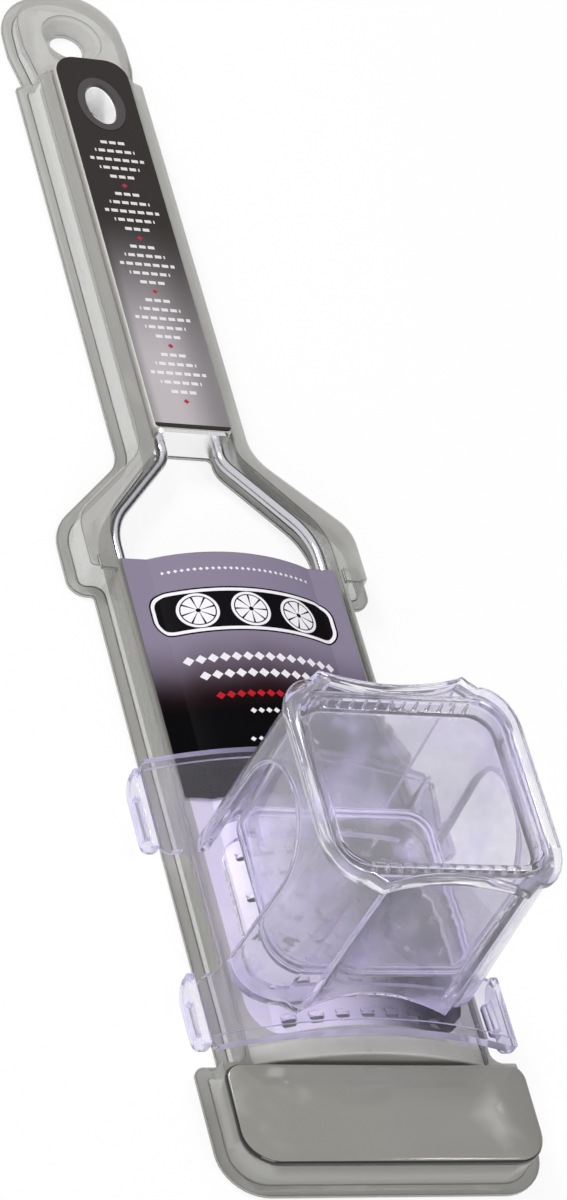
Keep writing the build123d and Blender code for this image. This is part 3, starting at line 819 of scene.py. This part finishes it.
class Form:
    """A mesh under construction from rings of vertices, measured in millimetres."""

    def __init__(self) -> None:
        """Start an empty mesh."""
        self.mesh = bmesh.new()

    def ring(self, places: Sequence[Place]) -> list[bmesh.types.BMVert]:
        """Start with a closed ring.

        Args:
            places: the ring's points in order.

        Returns:
            The ring's vertices in the same order.
        """
        verts = [self.mesh.verts.new(Vector(place) * MM) for place in places]
        for vert, after in zip(verts, verts[1:] + verts[:1]):
            self.mesh.edges.new((vert, after))
        return verts

    def grow(self, ring: list[bmesh.types.BMVert], places: Sequence[Place]) -> list[bmesh.types.BMVert]:
        """Extrude a ring and put the new one at its places.

        Args:
            ring: the vertices of the last ring, in order.
            places: as many points for the new ring.

        Returns:
            The new ring's vertices, in the order of the places.
        """
        edges = [
            next(edge for edge in vert.link_edges if edge.other_vert(vert) is after)
            for vert, after in zip(ring, ring[1:] + ring[:1])
        ]
        made = bmesh.ops.extrude_edge_only(self.mesh, edges=edges)["geom"]
        fresh = {vert for vert in made if isinstance(vert, bmesh.types.BMVert)}
        following = []
        for vert, place in zip(ring, places):
            others = (edge.other_vert(vert) for edge in vert.link_edges)
            twin = next(other for other in others if other in fresh)
            twin.co = Vector(place) * MM
            following.append(twin)
        return following

    def stack(self, rings: Sequence[Sequence[Place]], close: bool = False) -> None:
        """Skin a run of rings.

        Args:
            rings: the rings' points, each as long as the first.
            close: join the last ring to the first.
        """
        first = last = self.ring(rings[0])
        for places in rings[1:]:
            last = self.grow(last, places)
        if close:
            last = self.grow(last, rings[0])
            bmesh.ops.remove_doubles(self.mesh, verts=first + last, dist=MERGE * MM)

    def mark(self, ring: list[bmesh.types.BMVert], layer: bmesh.types.BMLayerItem, value: float) -> None:
        """Give the faces that end in a ring a value.

        Args:
            ring: the ring's vertices.
            layer: the faces' layer that takes it.
            value: the value.
        """
        for face in {face for vert in ring for face in vert.link_faces}:
            face[layer] = value

    def tube(self, path: Sequence[Vector], radius: float, sides: int = 8) -> None:
        """Skin a round bead along an open path and close its ends.

        Args:
            path: the points it follows, in millimetres.
            radius: radius of the bead.
            sides: sides of its section.
        """
        rings = []
        for index, here in enumerate(path):
            before = path[max(index - 1, 0)]
            after = path[min(index + 1, len(path) - 1)]
            turn = (after - before).to_track_quat("Z", "X")
            rings.append([
                here + turn @ Vector((radius * math.cos(a), radius * math.sin(a), 0.0))
                for a in (2 * math.pi * side / sides for side in range(sides))
            ])
        ring = self.ring(rings[0])
        self.mesh.faces.new(ring)
        for places in rings[1:]:
            ring = self.grow(ring, places)
        self.mesh.faces.new(ring)


def sharp_edges(mesh: bmesh.types.BMesh, from_angle: float) -> list[bmesh.types.BMEdge]:
    """Edges between two faces that turn by more than an angle in degrees."""
    limit = math.radians(from_angle)
    return [edge for edge in mesh.edges if edge.is_manifold and edge.calc_face_angle() > limit]


def round_edges(mesh: bmesh.types.BMesh, radius: float, from_angle: float = ROUNDED_FROM) -> None:
    """Round the sharp edges of a mesh, mark the new faces as bends and merge the slivers.

    Args:
        mesh: the mesh.
        radius: width of the rounding in millimetres.
        from_angle: angle in degrees from which an edge is sharp.
    """
    bend = mesh.faces.layers.float.get(BEND) or mesh.faces.layers.float.new(BEND)
    made = bmesh.ops.bevel(
        mesh,
        geom=sharp_edges(mesh, from_angle),
        offset=radius * MM,
        offset_type="OFFSET",
        segments=ROUNDING_STEPS,
        profile=0.5,
        affect="EDGES",
        clamp_overlap=True,
        material=-1,
    )
    for face in made["faces"]:
        face[bend] = 1.0
    bmesh.ops.remove_doubles(mesh, verts=mesh.verts, dist=SLIVER * MM)
    bmesh.ops.dissolve_degenerate(mesh, edges=mesh.edges, dist=SLIVER * MM)


def keep_largest(mesh: bmesh.types.BMesh) -> None:
    """Delete the faces that don't hang together with the largest part of a mesh."""
    left = set(mesh.faces)
    parts: list[set[bmesh.types.BMFace]] = []
    while left:
        part = {left.pop()}
        fresh = set(part)
        while fresh:
            edges = {edge for face in fresh for edge in face.edges}
            fresh = {other for edge in edges for other in edge.link_faces} & left
            left -= fresh
            part |= fresh
        parts.append(part)
    largest = max(parts, key=len)
    loose = [face for face in mesh.faces if face not in largest]
    bmesh.ops.delete(mesh, geom=loose, context="FACES")


def mark_cut_ends(mesh: bmesh.types.BMesh) -> None:
    """Mark the faces that look along the blade, where a moulded band is cut off square."""
    mesh.normal_update()
    bend = mesh.faces.layers.float[BEND]
    for face in mesh.faces:
        if abs(face.normal.y) > CUT_FACING:
            face[bend] = 1.0


@dataclass
class Bench:
    """Turns finished meshes into pieces that ride with their bodies."""

    frame: dict
    smooth_to: float = 38.0

    def piece(
        self,
        mesh: bmesh.types.BMesh,
        name: str,
        body: str,
        finish: Finish,
        slot: str,
        nodes: Sequence[str] = (),
    ) -> bpy.types.Object:
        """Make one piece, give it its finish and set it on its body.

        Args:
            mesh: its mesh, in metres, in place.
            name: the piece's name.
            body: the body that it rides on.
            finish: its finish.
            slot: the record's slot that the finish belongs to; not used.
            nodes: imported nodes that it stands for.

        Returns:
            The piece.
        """
        bmesh.ops.recalc_face_normals(mesh, faces=mesh.faces)
        data = bpy.data.meshes.new(name)
        mesh.to_mesh(data)
        mesh.free()
        data.shade_smooth()
        data.set_sharp_from_angle(angle=math.radians(self.smooth_to))
        data.materials.append(finish.material())
        made = bpy.data.objects.new(name, data)
        bpy.context.scene.collection.objects.link(made)
        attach(made, body)
        if nodes:
            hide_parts(*nodes)
        weighted = made.modifiers.new("face_normals", "WEIGHTED_NORMAL")
        weighted.keep_sharp = True
        log.info("built %s on %s: %d faces", name, body, len(data.polygons))
        return made

    @staticmethod
    def walled(piece: bpy.types.Object, thickness: float) -> None:
        """Give a piece that is made as a sheet its thickness, inwards.

        Args:
            piece: the sheet.
            thickness: in millimetres.
        """
        wall = piece.modifiers.new("sheet", "SOLIDIFY")
        wall.thickness = thickness * MM
        wall.offset = -1.0

    def merged(self, node: str, nearer_than: float = MERGE) -> bmesh.types.BMesh:
        """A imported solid's mesh with its doubles merged and its flat faces whole.

        Args:
            node: the solid's name.
            nearer_than: distance in millimetres under which two vertices become one.

        Returns:
            The mesh.
        """
        mesh = bmesh.new()
        mesh.from_mesh(self.frame["nodes"][node].data)
        bmesh.ops.remove_doubles(mesh, verts=mesh.verts, dist=MERGE * MM)
        bmesh.ops.remove_doubles(mesh, verts=mesh.verts, dist=nearer_than * MM)
        bmesh.ops.dissolve_degenerate(mesh, edges=mesh.edges, dist=MERGE * MM)
        flat = math.radians(FLAT_TO)
        bmesh.ops.dissolve_limit(mesh, angle_limit=flat, verts=mesh.verts, edges=mesh.edges)
        return mesh


# The food holder


@dataclass(frozen=True)
class HolderPlan:
    """Plan of the holder: straight sides, round shoulders, and a hollow front and back."""

    half: float
    tip_half: float
    tip_reach: float
    sag: float
    middle: float
    shoulder_rise: float = 2.6
    shoulder_run: float = 3.1
    shoulder_drop: float = 10.9
    arc_steps: int = 10
    hollow_steps: int = 16

    def inset(self, by: float) -> HolderPlan:
        """The same plan with its walls moved inwards."""
        moved = {name: getattr(self, name) - by for name in ("half", "tip_half", "tip_reach")}
        return replace(self, **moved)

    def quarter(self) -> list[Point]:
        """From the middle of the right side to the back tip, turning left."""
        shoulder_x = self.tip_half + self.shoulder_run
        side_y = self.tip_reach - self.shoulder_rise - self.shoulder_drop
        points = [(self.half, 0.0)]
        for step in range(self.arc_steps + 1):
            turn = math.pi / 2 * step / self.arc_steps
            across = shoulder_x + (self.half - shoulder_x) * math.cos(turn)
            points.append((across, side_y + self.shoulder_drop * math.sin(turn)))
        points.append((self.tip_half, self.tip_reach))
        return points

    def hollow(self) -> list[Point]:
        """Half of the hollow back, from beside the tip to its middle."""
        points = []
        for step in range(1, self.hollow_steps + 1):
            across = self.tip_half * (1 - step / self.hollow_steps)
            share = 1 - (across / self.tip_half) ** 2
            points.append((across, self.tip_reach - self.sag * share))
        return points

    def at(self, height: float) -> list[Place]:
        """The closed plan at one height, ready to be a ring."""
        half = self.quarter() + self.hollow()
        whole = half + [(-x, y) for x, y in reversed(half[:-1])]
        whole += [(x, -y) for x, y in reversed(whole[1:-1])]
        return [(x, self.middle + y, height) for x, y in whole]


@dataclass(frozen=True)
class RoundedPlan:
    """Rounded rectangle about the holder's middle."""

    half_width: float
    half_length: float
    corner: float
    middle: float
    front_corner: float | None = None
    steps: int = 10

    def at(self, height: float) -> list[Place]:
        """The closed plan at one height, ready to be a ring."""
        places = []
        front = self.corner if self.front_corner is None else self.front_corner
        for quarter, (side, end) in enumerate(((1, 1), (-1, 1), (-1, -1), (1, -1))):
            corner = self.corner if end > 0 else front
            for step in range(self.steps + 1):
                turn = math.pi / 2 * (quarter + step / self.steps)
                x = side * (self.half_width - corner) + corner * math.cos(turn)
                y = end * (self.half_length - corner) + corner * math.sin(turn)
                places.append((x, self.middle + y, height))
        return places


@dataclass
class FoodHolder:
    """The clear holder that slides over the blade."""

    bench: Bench
    middle: float = along(66.35)
    top: float = 60.0
    rim_overhang: Place = (1.4, 0.42, 0.7)
    rim_section: tuple[Point, ...] = (
        (0.25, 0.0),
        (0.0, 0.4),
        (0.0, 1.5),
        (0.25, 2.05),
        (0.7, 2.35),
        (1.1, 2.4),
        (1.6, 2.3),
        (1.9, 1.9),
        (2.4, 1.8),
        (2.6, 1.6),
        (2.6, 0.3),
        (2.4, 0.0),
    )
    top_half: float = 27.4
    top_tip_half: float = 17.3
    top_tip_reach: float = 28.6
    top_sag: float = 3.0
    base_half: float = 30.0
    base_level: float = 8.6
    window_middle: float = along(68.35)
    window_half: float = 14.5
    window_spring: float = 39.5
    window_foot: float = 13.2
    bead: float = 0.5
    bead_sink: float = 0.1
    bead_leg_steps: int = 6
    bead_arc_steps: int = 24
    soft_nodes: tuple[tuple[str, float, Finish], ...] = (
        ("hopper", 0.35, Finish.HOLDER),
        ("saddle", 0.3, Finish.BAND),
        ("clip_front_left", 0.35, Finish.BAND),
        ("clip_front_right", 0.35, Finish.BAND),
        ("clip_back_left", 0.35, Finish.BAND),
        ("clip_back_right", 0.35, Finish.BAND),
    )

    def build(self) -> None:
        """Build the holder's pieces."""
        self._softened()
        self._rim()
        for side, name in ((-1, "window_bead_left"), (1, "window_bead_right")):
            self._window_bead(side, name)

    def _softened(self) -> None:
        """Take over the walls, the saddle and the clips with rounded edges."""
        for node, radius, finish in self.soft_nodes:
            mesh = self.bench.merged(node)
            round_edges(mesh, radius)
            if finish is Finish.BAND:
                mark_cut_ends(mesh)
            self.bench.piece(mesh, f"{node}_soft", "slider", finish, "holder_plastic", (node,))

    def _rim(self) -> None:
        """The thick ring round the mouth: each step of its section has an inset and a rise."""
        side, tip, end = self.rim_overhang
        plan = HolderPlan(
            self.top_half + side,
            self.top_tip_half + tip,
            self.top_tip_reach + end,
            self.top_sag,
            self.middle,
        )
        form = Form()
        rings = [plan.inset(inset).at(self.top + rise) for inset, rise in self.rim_section]
        form.stack(rings, close=True)
        name, nodes = "hopper_rim_ring", ("hopper_rim",)
        self.bench.piece(form.mesh, name, "slider", Finish.HOLDER, "holder_plastic", nodes)

    def _wall_at(self, height: float) -> float:
        """Half width of the holder's outer wall at one height."""
        share = (height - self.base_level) / (self.top - self.base_level)
        return self.base_half + (self.top_half - self.base_half) * share

    def _window_bead(self, side: int, name: str) -> None:
        """The raised bead that frames one arched window.

        Args:
            side: -1 for the left window, 1 for the right one.
            name: the piece's name.
        """
        reach = self.window_half + self.bead
        leg = (self.window_spring - self.window_foot) / self.bead_leg_steps
        turns = [math.pi * step / self.bead_arc_steps for step in range(self.bead_arc_steps + 1)]
        path = [(-reach, self.window_foot + leg * step) for step in range(self.bead_leg_steps)]
        path += [(-reach * math.cos(a), self.window_spring + reach * math.sin(a)) for a in turns]
        path += [(-y, z) for y, z in reversed(path[: self.bead_leg_steps])]
        places = [
            Vector((side * (self._wall_at(z) - self.bead_sink), self.window_middle + y, z)) for y, z in path
        ]
        form = Form()
        form.tube(places, self.bead)
        self.bench.piece(form.mesh, name, "slider", Finish.HOLDER, "holder_plastic")


@dataclass
class Pusher:
    """The clear press block: a deep cup turned over, with a shallow tray in its top.

    Each step of its two sections has an inset, a share of the taper and a height.
    """

    bench: Bench
    middle: float = along(66.35)
    half_width: float = 25.1
    half_length: float = 23.0
    corner: float = 7.5
    taper_width: float = 0.3
    taper_length: float = 1.1
    wall: float = 1.3
    outer: tuple[Place, ...] = (
        (1.1, 1.0, 22.0),
        (0.3, 1.0, 22.05),
        (0.0, 1.0, 22.4),
        (0.0, 0.0, 59.8),
        (-0.6, 0.0, 60.2),
        (-0.6, 0.0, 61.6),
        (-0.35, 0.0, 62.15),
        (0.2, 0.0, 62.4),
        (0.9, 0.0, 62.35),
        (1.3, 0.0, 61.9),
        (1.6, 0.0, 60.0),
        (2.0, 0.0, 59.2),
        (2.9, 0.0, 58.8),
    )
    inner: tuple[Place, ...] = (
        (1.3, 1.0, 22.3),
        (1.3, 0.0, 56.1),
        (1.8, 0.0, 57.1),
        (2.8, 0.0, 57.5),
    )
    plate_rounding: float = 0.4
    ribs: int = 12
    rib_foot: float = 58.8
    rib_height: float = 2.7
    rib_pitch: float = 3.1
    rib_radius: float = 0.55
    rib_taper: float = 0.6
    rib_sides: int = 12

    def _plan(self, inset: float, taper: float, height: float) -> list[Place]:
        """Ring of the block at one step of a section."""
        return RoundedPlan(
            self.half_width - inset - self.taper_width * taper,
            self.half_length - inset - self.taper_length * taper,
            self.corner - inset,
            self.middle,
        ).at(height)

    def build(self) -> None:
        """Build the block, its ribs and its plate."""
        form = Form()
        first = last = form.ring(self._plan(*self.outer[0]))
        for section in self.outer[1:]:
            last = form.grow(last, self._plan(*section))
        form.mesh.faces.new(last)
        for section in self.inner:
            first = form.grow(first, self._plan(*section))
        form.mesh.faces.new(first)
        self._piece(form.mesh, "pusher_block", ("pusher_body",))
        self._ribs()
        mesh = self.bench.merged("pusher_plate")
        round_edges(mesh, self.plate_rounding)
        self._piece(mesh, "pusher_plate_soft", ("pusher_plate",))

    def _piece(self, mesh: bmesh.types.BMesh, name: str, nodes: Sequence[str] = ()) -> None:
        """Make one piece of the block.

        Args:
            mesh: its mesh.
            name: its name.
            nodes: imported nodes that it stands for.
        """
        self.bench.piece(mesh, name, "pusher", Finish.PUSHER, "pusher_plastic", nodes)

    def _ribs(self) -> None:
        """Two rows of upright half-round ribs along the shallow tray's front and back walls."""
        mesh = bmesh.new()
        reach = self.half_length - self.wall
        height = self.rib_foot + self.rib_height / 2
        for end in (-1, 1):
            for rib in range(self.ribs):
                x = (rib - (self.ribs - 1) / 2) * self.rib_pitch
                place = Vector((x, self.middle + end * reach, height)) * MM
                bmesh.ops.create_cone(
                    mesh,
                    cap_ends=True,
                    segments=self.rib_sides,
                    radius1=self.rib_radius * MM,
                    radius2=self.rib_radius * self.rib_taper * MM,
                    depth=self.rib_height * MM,
                    matrix=Matrix.Translation(place),
                )
        self._piece(mesh, "pusher_ribs")


# The grater


@dataclass
class Teeth:
    """The raised hoods of the blade's teeth, each open towards the toe."""

    bench: Bench
    blade_start: float = 33.5
    first_row: float = 5.0
    row_pitch: float = 5.6
    rows: int = 23
    columns: int = 7
    pitch: float = 5.9
    width: float = 3.2
    reach: float = 1.7
    rise: float = 0.5
    arch_half: float = 21.0
    arch_rise: float = 4.6
    wing_top: float = 7.2
    sheet: float = 0.12
    sides: int = 12
    levels: int = 6
    foot_cut: float = -0.1
    mouth_cut: float = -0.05

    def _crown(self, x: float) -> tuple[float, float]:
        """Height of the arched sheet at one place across it, and its tilt there."""
        radius = (self.arch_half**2 + self.arch_rise**2) / (2 * self.arch_rise)
        drop = radius - math.sqrt(radius**2 - x**2)
        return self.wing_top + self.arch_rise - drop, math.asin(x / radius)

    def build(self) -> None:
        """Build all the hoods as one piece."""
        mesh = bmesh.new()
        for row in range(self.rows):
            odd = row % 2
            for column in range(self.columns - odd):
                x = (column - (self.columns - 1 - odd) / 2) * self.pitch
                y = along(self.blade_start + self.first_row + row * self.row_pitch)
                height, tilt = self._crown(x)
                place = Matrix.Translation(Vector((x, y, height)) * MM) @ Matrix.Rotation(tilt, 4, "Y")
                size = Matrix.Diagonal((self.width / 2 * MM, self.reach * MM, self.rise * MM, 1.0))
                self._hood(mesh, place @ size)
        hoods = self.bench.piece(mesh, "tooth_hoods", "grater", Finish.BLADE, "blade_steel")
        self.bench.walled(hoods, self.sheet)

    def _hood(self, mesh: bmesh.types.BMesh, place: Matrix) -> None:
        """One hood: the part of a ball over the sheet and behind the mouth.

        Args:
            mesh: the mesh that takes it.
            place: where the unit ball goes, with its size.
        """
        made = bmesh.ops.create_uvsphere(
            mesh, u_segments=self.sides, v_segments=self.levels, radius=1.0, matrix=place
        )["verts"]
        back = place.inverted()
        spots = {vert: back @ vert.co for vert in made}
        gone = [vert for vert, spot in spots.items() if spot.z < self.foot_cut or spot.y < self.mouth_cut]
        bmesh.ops.delete(mesh, geom=gone, context="VERTS")


# The tray


@dataclass
class Tray:
    """The formed sheet that carries the grater: soft edges over a thin wall, with a domed end block."""

    bench: Bench
    sheet: float = 0.35
    edge_radius: float = 0.42
    edge_from: float = 35.0
    under_facing: float = -0.9
    merge_nearer_than: float = 0.16
    foot_clearance: float = 0.1
    height: float = 8.4
    block_half: float = 36.7
    block_front: float = along(2.6)
    block_back: float = along(27.6)
    block_front_corner: float = 8.4
    block_back_corner: float = 3.0
    block_centre_corner: float = 0.5
    block_cut_behind: float = 1.0
    block_cut_over: float = 0.02
    block_rings: tuple[tuple[float, float | None], ...] = (
        (0.22, None),
        (0.3, 1.7),
        (0.34, 0.62),
        (0.44, 0.3),
        (0.62, 0.1),
        *((inset, 0.0) for inset in (0.86, 1.5, 2.4, 3.6, 5.2, 7.2, 9.4, 11.4)),
    )
    bend_under: float = 1.0
    arch_half: float = 39.3
    crest_front: float = 11.3
    crest_back: float = 15.0
    crest_front_at: float = along(0.0)

    def build(self) -> None:
        """Build the sheet and its block."""
        mesh = self.bench.merged("carrier_tray", self.merge_nearer_than)
        under = [face for face in mesh.faces if face.normal.z < self.under_facing]
        bmesh.ops.delete(mesh, geom=under, context="FACES")
        keep_largest(mesh)
        self._open_block(mesh)
        round_edges(mesh, self.edge_radius, self.edge_from)
        for vert in mesh.verts:
            vert.co.z = max(vert.co.z, self.foot_clearance * MM)
        nodes = ("carrier_tray",)
        walls = self.bench.piece(mesh, "tray_sheet", "carrier", Finish.TRAY, "tray_plastic", nodes)
        self.bench.walled(walls, self.sheet)
        self.bench.walled(self._block(), self.sheet)

    def _open_block(self, mesh: bmesh.types.BMesh) -> None:
        """Take the block's top off the sheet, level with the tray's lip."""
        limit = self.block_back + self.block_cut_behind
        part = [face for face in mesh.faces if face.calc_center_median().y < limit * MM]
        edges = dict.fromkeys(edge for face in part for edge in face.edges)
        verts = dict.fromkeys(vert for face in part for vert in face.verts)
        bmesh.ops.bisect_plane(
            mesh,
            geom=[*part, *edges, *verts],
            dist=0.001 * MM,
            plane_co=(0, 0, (self.height + self.block_cut_over) * MM),
            plane_no=(0, 0, 1),
            clear_outer=True,
        )

    def _dome(self, x: float, y: float) -> float:
        """Height of the block's domed top at one place."""
        share = (y - self.crest_front_at) / (self.block_back - self.crest_front_at)
        crest = self.crest_front + (self.crest_back - self.crest_front) * share
        return crest - (crest - self.height) * (x / self.arch_half) ** 2

    def _block(self) -> bpy.types.Object:
        """The block's upper walls and dome, closed along its middle line.

        Each ring has an inset and a depth under the dome, or none where it stands on the lip.
        """
        half_length = (self.block_back - self.block_front) / 2
        middle = self.block_front + half_length
        innermost = self.block_rings[-1][0]
        form = Form()
        bend = form.mesh.faces.layers.float.new(BEND)
        last: list[bmesh.types.BMVert] = []
        for inset, under in self.block_rings:
            back, front = (
                corner + (self.block_centre_corner - corner) * inset / innermost
                for corner in (self.block_back_corner, self.block_front_corner)
            )
            plan = RoundedPlan(self.block_half - inset, half_length - inset, back, middle, front)
            places = [
                (x, y, self.height if under is None else self._dome(x, y) - under)
                for x, y, _ in plan.at(0.0)
            ]
            if last:
                last = form.grow(last, places)
                form.mark(last, bend, 1.0 if under and under < self.bend_under else 0.0)
            else:
                last = form.ring(places)
        centre = form.grow(last, [(x, middle, self._dome(x, middle)) for x, _, _ in places])
        form.mark(centre, bend, 0.0)
        bmesh.ops.remove_doubles(form.mesh, verts=form.mesh.verts, dist=MERGE * MM)
        return self.bench.piece(form.mesh, "end_block_dome", "carrier", Finish.BLOCK, "tray_plastic")


NODE_FINISH: dict[str, Finish] = {
    "frame_rod_left": Finish.WIRE,
    "frame_rod_right": Finish.WIRE,
    "blade": Finish.BLADE,
    "blade_card": Finish.BLADE_FILM,
    "toe_bar": Finish.END_BAR,
    "toe_pad": Finish.PAD,
    "handle_lower_shell": Finish.GRIP,
    "handle_upper_shell": Finish.GRIP,
    "handle_collar": Finish.COLLAR,
    "tang_block": Finish.INNER,
    "handle_card": Finish.HANDLE_FILM,
    "hanging_eyelet": Finish.EYELET,
    "pusher_prongs": Finish.PUSHER,
}


@dataclass
class CarriedNodes:
    """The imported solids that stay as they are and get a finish."""

    frame: dict

    def dress(self) -> None:
        """Give each carried node its material."""
        for name, finish in NODE_FINISH.items():
            node = self.frame["nodes"][name]
            for place in node.material_slots:
                place.material = finish.material()
            log.info("dressed %s in %s", name, finish.name)


# Stage


@dataclass(frozen=True)
class Shot:
    """The photograph's viewpoint."""

    azimuth: float = -36.57
    elevation: float = 44.11
    roll: float = 30.46
    distance: float = 987.46
    shift_right: float = -8.83
    shift_up: float = 81.0
    shift_y: float = -122.1
    focal_pixels: float = 4399.8
    long_side: float = 1200.0
    sensor: float = 36.0
    clip: Point = (0.05, 20.0)

    def place(self) -> None:
        """Make the camera and make it the scene's own."""
        a, e, r = (math.radians(v) for v in (self.azimuth, self.elevation, self.roll))
        back = Vector((math.sin(a) * math.cos(e), -math.cos(a) * math.cos(e), math.sin(e)))
        level = Vector((0, 0, 1)).cross(back).normalized()
        upright = back.cross(level)
        right = level * math.cos(r) + upright * math.sin(r)
        up = upright * math.cos(r) - level * math.sin(r)
        spot = back * self.distance + right * self.shift_right + up * self.shift_up
        spot.y += self.shift_y
        data = bpy.data.cameras.new("camera")
        data.sensor_width = self.sensor
        data.lens = self.focal_pixels / self.long_side * self.sensor
        data.clip_start, data.clip_end = self.clip
        camera = bpy.data.objects.new("camera", data)
        turn = Matrix((right, up, back)).transposed().to_4x4()
        camera.matrix_world = Matrix.Translation(spot * MM) @ turn
        bpy.context.scene.collection.objects.link(camera)
        bpy.context.scene.camera = camera


@dataclass(frozen=True)
class Lamp:
    """One soft square lamp aimed at the object's middle."""

    name: str
    spot: Place
    size: float
    power: float

    def hang(self) -> None:
        """Make the lamp."""
        data = bpy.data.lights.new(self.name, "AREA")
        data.shape = "SQUARE"
        data.size = self.size
        data.energy = self.power
        lamp = bpy.data.objects.new(self.name, data)
        lamp.location = self.spot
        lamp.rotation_euler = (-Vector(self.spot)).to_track_quat("-Z", "Y").to_euler()
        bpy.context.scene.collection.objects.link(lamp)


@dataclass
class Studio:
    """Plain pale floor and soft light."""

    white: Colour = (1.0, 1.0, 1.0)
    floor_colour: Colour = (0.86, 0.86, 0.86)
    floor_drop: float = 0.2
    floor_span: float = 6.0
    floor_cells: int = 4
    floor_glow: float = 0.85
    soft_strength: float = 0.45
    horizon: float = 0.06
    dim_way: Point = (0.82, 0.57)
    dim_sides: Point = (0.2, 0.8)
    dim_rise: float = 0.45
    dim_levels: Point = (0.03, 0.4)
    lamps: tuple[Lamp, ...] = (
        Lamp("key", (-0.55, 0.62, 0.75), 0.3, 7.0),
        Lamp("fill", (0.45, -0.25, 1.0), 0.25, 3.0),
        Lamp("front", (-0.35, -0.9, 0.4), 0.5, 3.5),
    )

    def build(self) -> None:
        """Make the floor, the world and the lamps."""
        shape = bmesh.new()
        cells = self.floor_cells
        bmesh.ops.create_grid(shape, x_segments=cells, y_segments=cells, size=self.floor_span / 2)
        bmesh.ops.translate(shape, verts=shape.verts, vec=(0, 0, -self.floor_drop * MM))
        mesh = bpy.data.meshes.new("floor")
        shape.to_mesh(mesh)
        shape.free()
        floor = bpy.data.objects.new("floor", mesh)
        bpy.context.scene.collection.objects.link(floor)
        mesh.materials.append(self._floor_material())
        self._world()
        for lamp in self.lamps:
            lamp.hang()

    @staticmethod
    def _seen(graph: Graph) -> Field:
        """1 for rays that come from the camera, a mirror or a clear body."""
        rays = graph.node("ShaderNodeLightPath")
        seen = rays.field("Is Camera Ray").most(rays.field("Is Glossy Ray"))
        return seen.most(rays.field("Is Transmission Ray"))

    def _floor_material(self) -> bpy.types.Material:
        """Matt floor that shows white and still takes the object's shadow."""
        graph = Graph("floor_look")
        matt = graph.node("ShaderNodeBsdfDiffuse", None, {"Color": self.floor_colour}).field()
        glow = graph.node("ShaderNodeEmission", None, {"Color": self.white, "Strength": 1.0}).field()
        return graph.finish(graph.blend(self._seen(graph) * self.floor_glow, matt, glow))

    def _world(self) -> None:
        """Soft white sky, shown white behind the object, and dim in mirrors low down to the right."""
        world = bpy.data.worlds.new("studio")
        world.use_nodes = True
        graph = Graph.over(world.node_tree)
        way = graph.node("ShaderNodeTexCoord").field("Generated")
        split = graph.node("ShaderNodeSeparateXYZ", None, {0: way})
        right, back = self.dim_way
        rightward = (split.field(0) * right + split.field(1) * back).step(*self.dim_sides)
        low = 1.0 - (split.field(2) - rightward * self.dim_rise).step(*self.dim_levels)
        dim = graph.node("ShaderNodeLightPath").field("Is Glossy Ray") * low
        shown = 1.0 - dim * (1.0 - self.horizon)
        soft, shown = (
            graph.node("ShaderNodeBackground", None, {"Color": self.white, "Strength": strength}).field()
            for strength in (self.soft_strength, shown)
        )
        blend = graph.blend(self._seen(graph), soft, shown)
        graph.node("ShaderNodeOutputWorld", None, {"Surface": blend})
        bpy.context.scene.world = world


def main() -> None:
    """Build the whole scene."""
    logging.basicConfig(level=logging.INFO, format="%(name)s: %(message)s")
    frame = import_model()
    bpy.context.scene.view_settings.view_transform = "Standard"
    bench = Bench(frame)
    CarriedNodes(frame).dress()
    Tray(bench).build()
    Teeth(bench).build()
    FoodHolder(bench).build()
    Pusher(bench).build()
    Studio().build()
    Shot().place()
    bpy.context.view_layer.update()


if __name__ == "__main__":
    main()
